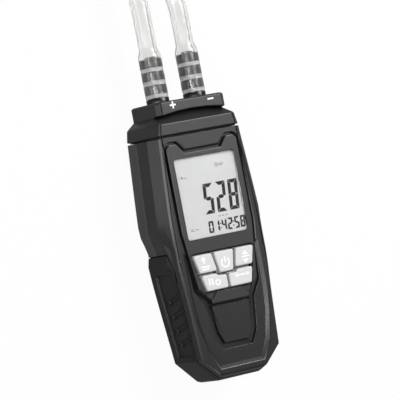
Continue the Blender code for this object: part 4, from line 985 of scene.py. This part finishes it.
def screwTree():
    # pan head with a cross recess at the bottom, a shank that enters upwards, and its thread
    spec = screwSpec
    tree, given = newTree(
        "screws",
        ("Head Radius", "Head Height", "Shank Radius", "Length", "Pitch", "Recess", "Run Out"),
    )
    share = {}
    for name, (size, factor) in spec["shares"].items():
        share[name] = addNode(
            tree, "ShaderNodeMath", {"operation": "MULTIPLY", 1: factor}, {0: given[size]}
        ).outputs[0]
    span = addNode(
        tree, "ShaderNodeMath", {"operation": "SUBTRACT"}, {0: given["Length"], 1: given["Head Height"]}
    ).outputs[0]
    middle = addNode(
        tree,
        "ShaderNodeMath",
        {"operation": "MULTIPLY_ADD", 1: 0.5},
        {0: span, 2: given["Head Height"]},
    ).outputs[0]
    threaded = addNode(
        tree, "ShaderNodeMath", {"operation": "SUBTRACT"}, {0: span, 1: given["Pitch"]}
    ).outputs[0]
    turns = addNode(
        tree, "ShaderNodeMath", {"operation": "DIVIDE"}, {0: threaded, 1: given["Pitch"]}
    ).outputs[0]
    threadLow = addNode(
        tree, "ShaderNodeMath", {"operation": "ADD"}, {0: given["Head Height"], 1: given["Run Out"]}
    ).outputs[0]
    head = addNode(
        tree,
        "GeometryNodeMeshCylinder",
        {"Vertices": spec["headSides"]},
        {"Radius": given["Head Radius"], "Depth": given["Head Height"]},
    )
    shank = addNode(
        tree,
        "GeometryNodeMeshCylinder",
        {"Vertices": spec["shankSides"]},
        {"Radius": share["core"], "Depth": span},
    )
    helix = addNode(
        tree,
        "GeometryNodeCurveSpiral",
        {"Resolution": 20},
        {
            "Rotations": turns, "Start Radius": share["threadRadius"],
            "End Radius": share["threadRadius"], "Height": threaded,
        },
    )
    crest = addNode(
        tree, "GeometryNodeCurvePrimitiveCircle", {"Resolution": 5}, {"Radius": share["crest"]}
    )
    thread = addNode(
        tree,
        "GeometryNodeCurveToMesh",
        {"Fill Caps": True},
        {"Curve": helix.outputs[0], "Profile Curve": crest.outputs[0]},
    )
    lifted = []
    for shape, height in ((head, share["halfHead"]), (shank, middle), (thread, threadLow)):
        lift = addNode(tree, "ShaderNodeCombineXYZ", links={"Z": height})
        moved = addNode(
            tree, "GeometryNodeTransform", links={0: shape.outputs[0], "Translation": lift.outputs[0]}
        )
        lifted.append(moved.outputs[0])
    slotSize = addNode(
        tree,
        "ShaderNodeCombineXYZ",
        links={"X": given["Recess"], "Y": share["slotWidth"], "Z": share["slotDepth"]},
    )
    slot = addNode(tree, "GeometryNodeMeshCube", links={"Size": slotSize.outputs[0]})
    crossSlot = addNode(
        tree, "GeometryNodeTransform", {"Rotation": (0, 0, math.pi / 2)}, {0: slot.outputs[0]}
    )
    recessed = addNode(
        tree, "GeometryNodeMeshBoolean", {"operation": "DIFFERENCE"}, {"Mesh 1": lifted[0]}
    )
    for cutter in (slot, crossSlot):
        tree.links.new(cutter.outputs[0], recessed.inputs["Mesh 2"])
    whole = addNode(tree, "GeometryNodeJoinGeometry")
    for part in (recessed.outputs[0], lifted[1], lifted[2]):
        tree.links.new(part, whole.inputs[0])
    finishTree(tree, given, whole.outputs[0])
    return tree


def springTree():
    # a cone of wire, wound along the body
    tree, given = newTree(
        "springs", ("Turns", "Small Radius", "Large Radius", "Height", "Wire Radius")
    )
    coil = addNode(
        tree,
        "GeometryNodeCurveSpiral",
        {"Resolution": 30},
        {
            "Rotations": given["Turns"], "Start Radius": given["Small Radius"],
            "End Radius": given["Large Radius"], "Height": given["Height"],
        },
    )
    wire = addNode(
        tree, "GeometryNodeCurvePrimitiveCircle", {"Resolution": 12}, {"Radius": given["Wire Radius"]}
    )
    wound = addNode(
        tree,
        "GeometryNodeCurveToMesh",
        {"Fill Caps": True},
        {"Curve": coil.outputs[0], "Profile Curve": wire.outputs[0]},
    )
    laid = addNode(
        tree, "GeometryNodeTransform", {"Rotation": (-math.pi / 2, 0, 0)}, {0: wound.outputs[0]}
    )
    finishTree(tree, given, laid.outputs[0])
    return tree


grownSharp = 35.0  # degrees


def grown(name, tree, places, settings, material, nodes):
    # one piece from a tree, on a mesh that holds only the places
    points = bpy.data.meshes.new(name + "_places")
    points.from_pydata([place(*p) for p in places], [], [])
    carrier = bpy.data.objects.new(name + "_carrier", points)
    bpy.context.scene.collection.objects.link(carrier)
    modifier = carrier.modifiers.new(name, "NODES")
    modifier.node_group = tree
    values = dict(settings, Material=materials[material])
    for socket in tree.interface.items_tree:
        if socket.in_out == "INPUT" and socket.name in values:
            modifier[socket.identifier] = values[socket.name]
    mesh = evaluatedMesh(carrier)
    mesh.shade_smooth()
    mesh.set_sharp_from_angle(angle=math.radians(grownSharp))
    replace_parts(newPiece(name, mesh, material), *nodes)


def makeScrews():
    spec = screwSpec
    tree = screwTree()
    for name, group in spec["groups"].items():
        boxes = [boxOf(node) for node in group["nodes"]]
        places = [((low.x + high.x) / 2, (low.y + high.y) / 2, low.z) for low, high in boxes]
        low, high = boxes[0]
        settings = {
            "Head Radius": (high.x - low.x) / 2 * mm, "Head Height": group["headHeight"] * mm,
            "Shank Radius": spec["shankRadius"] * mm, "Length": (high.z - low.z) * mm,
            "Pitch": spec["pitch"] * mm, "Recess": group["recess"] * mm,
            "Run Out": spec["runOut"] * mm,
        }
        grown(name, tree, places, settings, "zincScrew", group["nodes"])


springSpec = {"wire": 0.35, "turns": 3.0, "smallRadius": 1.9, "largeRadius": 3.3}


def makeSprings():
    spec = springSpec
    wire = spec["wire"]
    nodes = [f"battery_spring_{i}" for i in (1, 2, 3)]
    boxes = [boxOf(node) for node in nodes]
    places = [((low.x + high.x) / 2, low.y + wire, (low.z + high.z) / 2) for low, high in boxes]
    low, high = boxes[0]
    settings = {
        "Turns": spec["turns"], "Small Radius": spec["smallRadius"] * mm,
        "Large Radius": spec["largeRadius"] * mm, "Height": (high.y - low.y - 2 * wire) * mm,
        "Wire Radius": wire * mm,
    }
    grown("battery_springs", springTree(), places, settings, "springSteel", nodes)


makeScrews()
makeSprings()

print("screws and springs made")


# Floor, light and camera

studioSpec = {
    "dark": "#e4e4e4", "light": "#eaeaea", "fibreScale": 300.0, "halfSize": 3.0, "drop": 0.2,
    "glow": 0.95, "gloss": 0.28, "world": 0.14,
}


def makePaper():
    # matt white paper that shows its shadow and looks white to the camera and through clear things
    spec = studioSpec
    material, tree, surface = newMaterial("paperSweep")
    where = addNode(tree, "ShaderNodeTexCoord").outputs["Object"]
    fibre = addNode(tree, "ShaderNodeTexNoise", {"Scale": spec["fibreScale"]}, {"Vector": where})
    tint = addNode(
        tree,
        "ShaderNodeMix",
        {"data_type": "RGBA", 6: linear(spec["dark"]), 7: linear(spec["light"])},
        {0: fibre.outputs["Fac"]},
    )
    paper = addNode(tree, "ShaderNodeBsdfDiffuse", links={"Color": tint.outputs[2]})
    rays = addNode(tree, "ShaderNodeLightPath").outputs
    seen = addNode(
        tree,
        "ShaderNodeMath",
        {"operation": "MAXIMUM"},
        {0: rays["Is Camera Ray"], 1: rays["Is Transmission Ray"]},
    ).outputs[0]
    # reflections in the object see only the glow, which is weaker there
    glowing = addNode(
        tree, "ShaderNodeMath", {"operation": "MULTIPLY", 1: spec["glow"]}, {0: seen}
    ).outputs[0]
    share = addNode(
        tree, "ShaderNodeMath", {"operation": "MAXIMUM"}, {0: glowing, 1: rays["Is Glossy Ray"]}
    )
    gloss = addNode(
        tree, "ShaderNodeMath", {"operation": "MULTIPLY", 1: spec["gloss"]}, {0: rays["Is Glossy Ray"]}
    )
    strength = addNode(
        tree, "ShaderNodeMath", {"operation": "MAXIMUM"}, {0: seen, 1: gloss.outputs[0]}
    )
    glow = addNode(
        tree, "ShaderNodeEmission", {"Color": (1, 1, 1, 1)}, {"Strength": strength.outputs[0]}
    )
    mixed = addNode(
        tree,
        "ShaderNodeMixShader",
        links={0: share.outputs[0], 1: paper.outputs[0], 2: glow.outputs[0]},
    )
    tree.links.new(mixed.outputs[0], surface)
    return material


def makeStudio():
    spec = studioSpec
    bm = bmesh.new()
    bmesh.ops.create_grid(bm, x_segments=2, y_segments=2, size=spec["halfSize"])
    mesh = bpy.data.meshes.new("paperFloor")
    bm.to_mesh(mesh)
    bm.free()
    mesh.materials.append(makePaper())
    floor = bpy.data.objects.new("paperFloor", mesh)
    floor.location = (0, 0, cadLow[2] - spec["drop"] * mm)
    bpy.context.scene.collection.objects.link(floor)

    world = bpy.data.worlds.new("studioWorld")
    bpy.context.scene.world = world
    world.use_nodes = True
    background = world.node_tree.nodes["Background"]
    background.inputs["Color"].default_value = (1, 1, 1, 1)
    background.inputs["Strength"].default_value = spec["world"]


lampAim = (0, 0, 0.02)
lamps = {
    # place in metres, width and length, watts
    "keyBox": {"at": (0.48, 0.42, 0.72), "size": (0.5, 0.5), "power": 8.0},
    # each of these shows as a light line or facet: the front's left edge, the side, the foot
    "topStrip": {"at": (-0.5, 0.06, 0.88), "size": (0.1, 0.9), "power": 4.8},
    "leftBox": {"at": (-1.0, 0.12, 0.23), "size": (0.14, 0.5), "power": 0.85},
    "footBox": {"at": (-0.28, -0.92, 0.47), "size": (0.4, 0.16), "power": 1.3},
}


def addLamp(name, spec):
    light = bpy.data.lights.new(name, "AREA")
    light.shape = "RECTANGLE"
    light.size, light.size_y = spec["size"]
    light.energy = spec["power"]
    lamp = bpy.data.objects.new(name, light)
    lamp.location = spec["at"]
    towards = Vector(lampAim) - Vector(spec["at"])
    lamp.rotation_euler = towards.to_track_quat("-Z", "Y").to_euler()
    bpy.context.scene.collection.objects.link(lamp)


cameraSpec = {
    # angles in degrees, the rest in millimetres; the camera is above the meter, to its left
    "azimuth": 31.70, "elevation": 0.33, "roll": -10.82, "distance": 1436.5, "lens": 232.4,
    "aim": (0.0, -45.0, 17.0), "aimRight": 0.83, "aimUp": 8.27,
}


def makeCamera():
    spec = cameraSpec
    azimuth, elevation, roll = (math.radians(spec[k]) for k in ("azimuth", "elevation", "roll"))
    back = Vector((
        -math.sin(azimuth) * math.cos(elevation),
        math.sin(elevation),
        math.cos(azimuth) * math.cos(elevation),
    ))
    level = Vector((math.cos(azimuth), 0, math.sin(azimuth)))
    upright = back.cross(level)
    right = level * math.cos(roll) + upright * math.sin(roll)
    up = upright * math.cos(roll) - level * math.sin(roll)
    aim = place(*spec["aim"]) + (right * spec["aimRight"] + up * spec["aimUp"]) * mm
    camera = bpy.data.objects.new("camera", bpy.data.cameras.new("camera"))
    camera.data.lens = spec["lens"]
    camera.data.sensor_width = 36.0
    camera.data.clip_start = 0.05
    turn = Matrix((right, up, back)).transposed().to_4x4()
    camera.matrix_world = Matrix.Translation(aim + back * spec["distance"] * mm) @ turn
    bpy.context.scene.collection.objects.link(camera)
    bpy.context.scene.camera = camera


makeStudio()
for name, spec in lamps.items():
    addLamp(name, spec)
makeCamera()
bpy.context.scene.view_settings.view_transform = "Standard"

print("studio made")
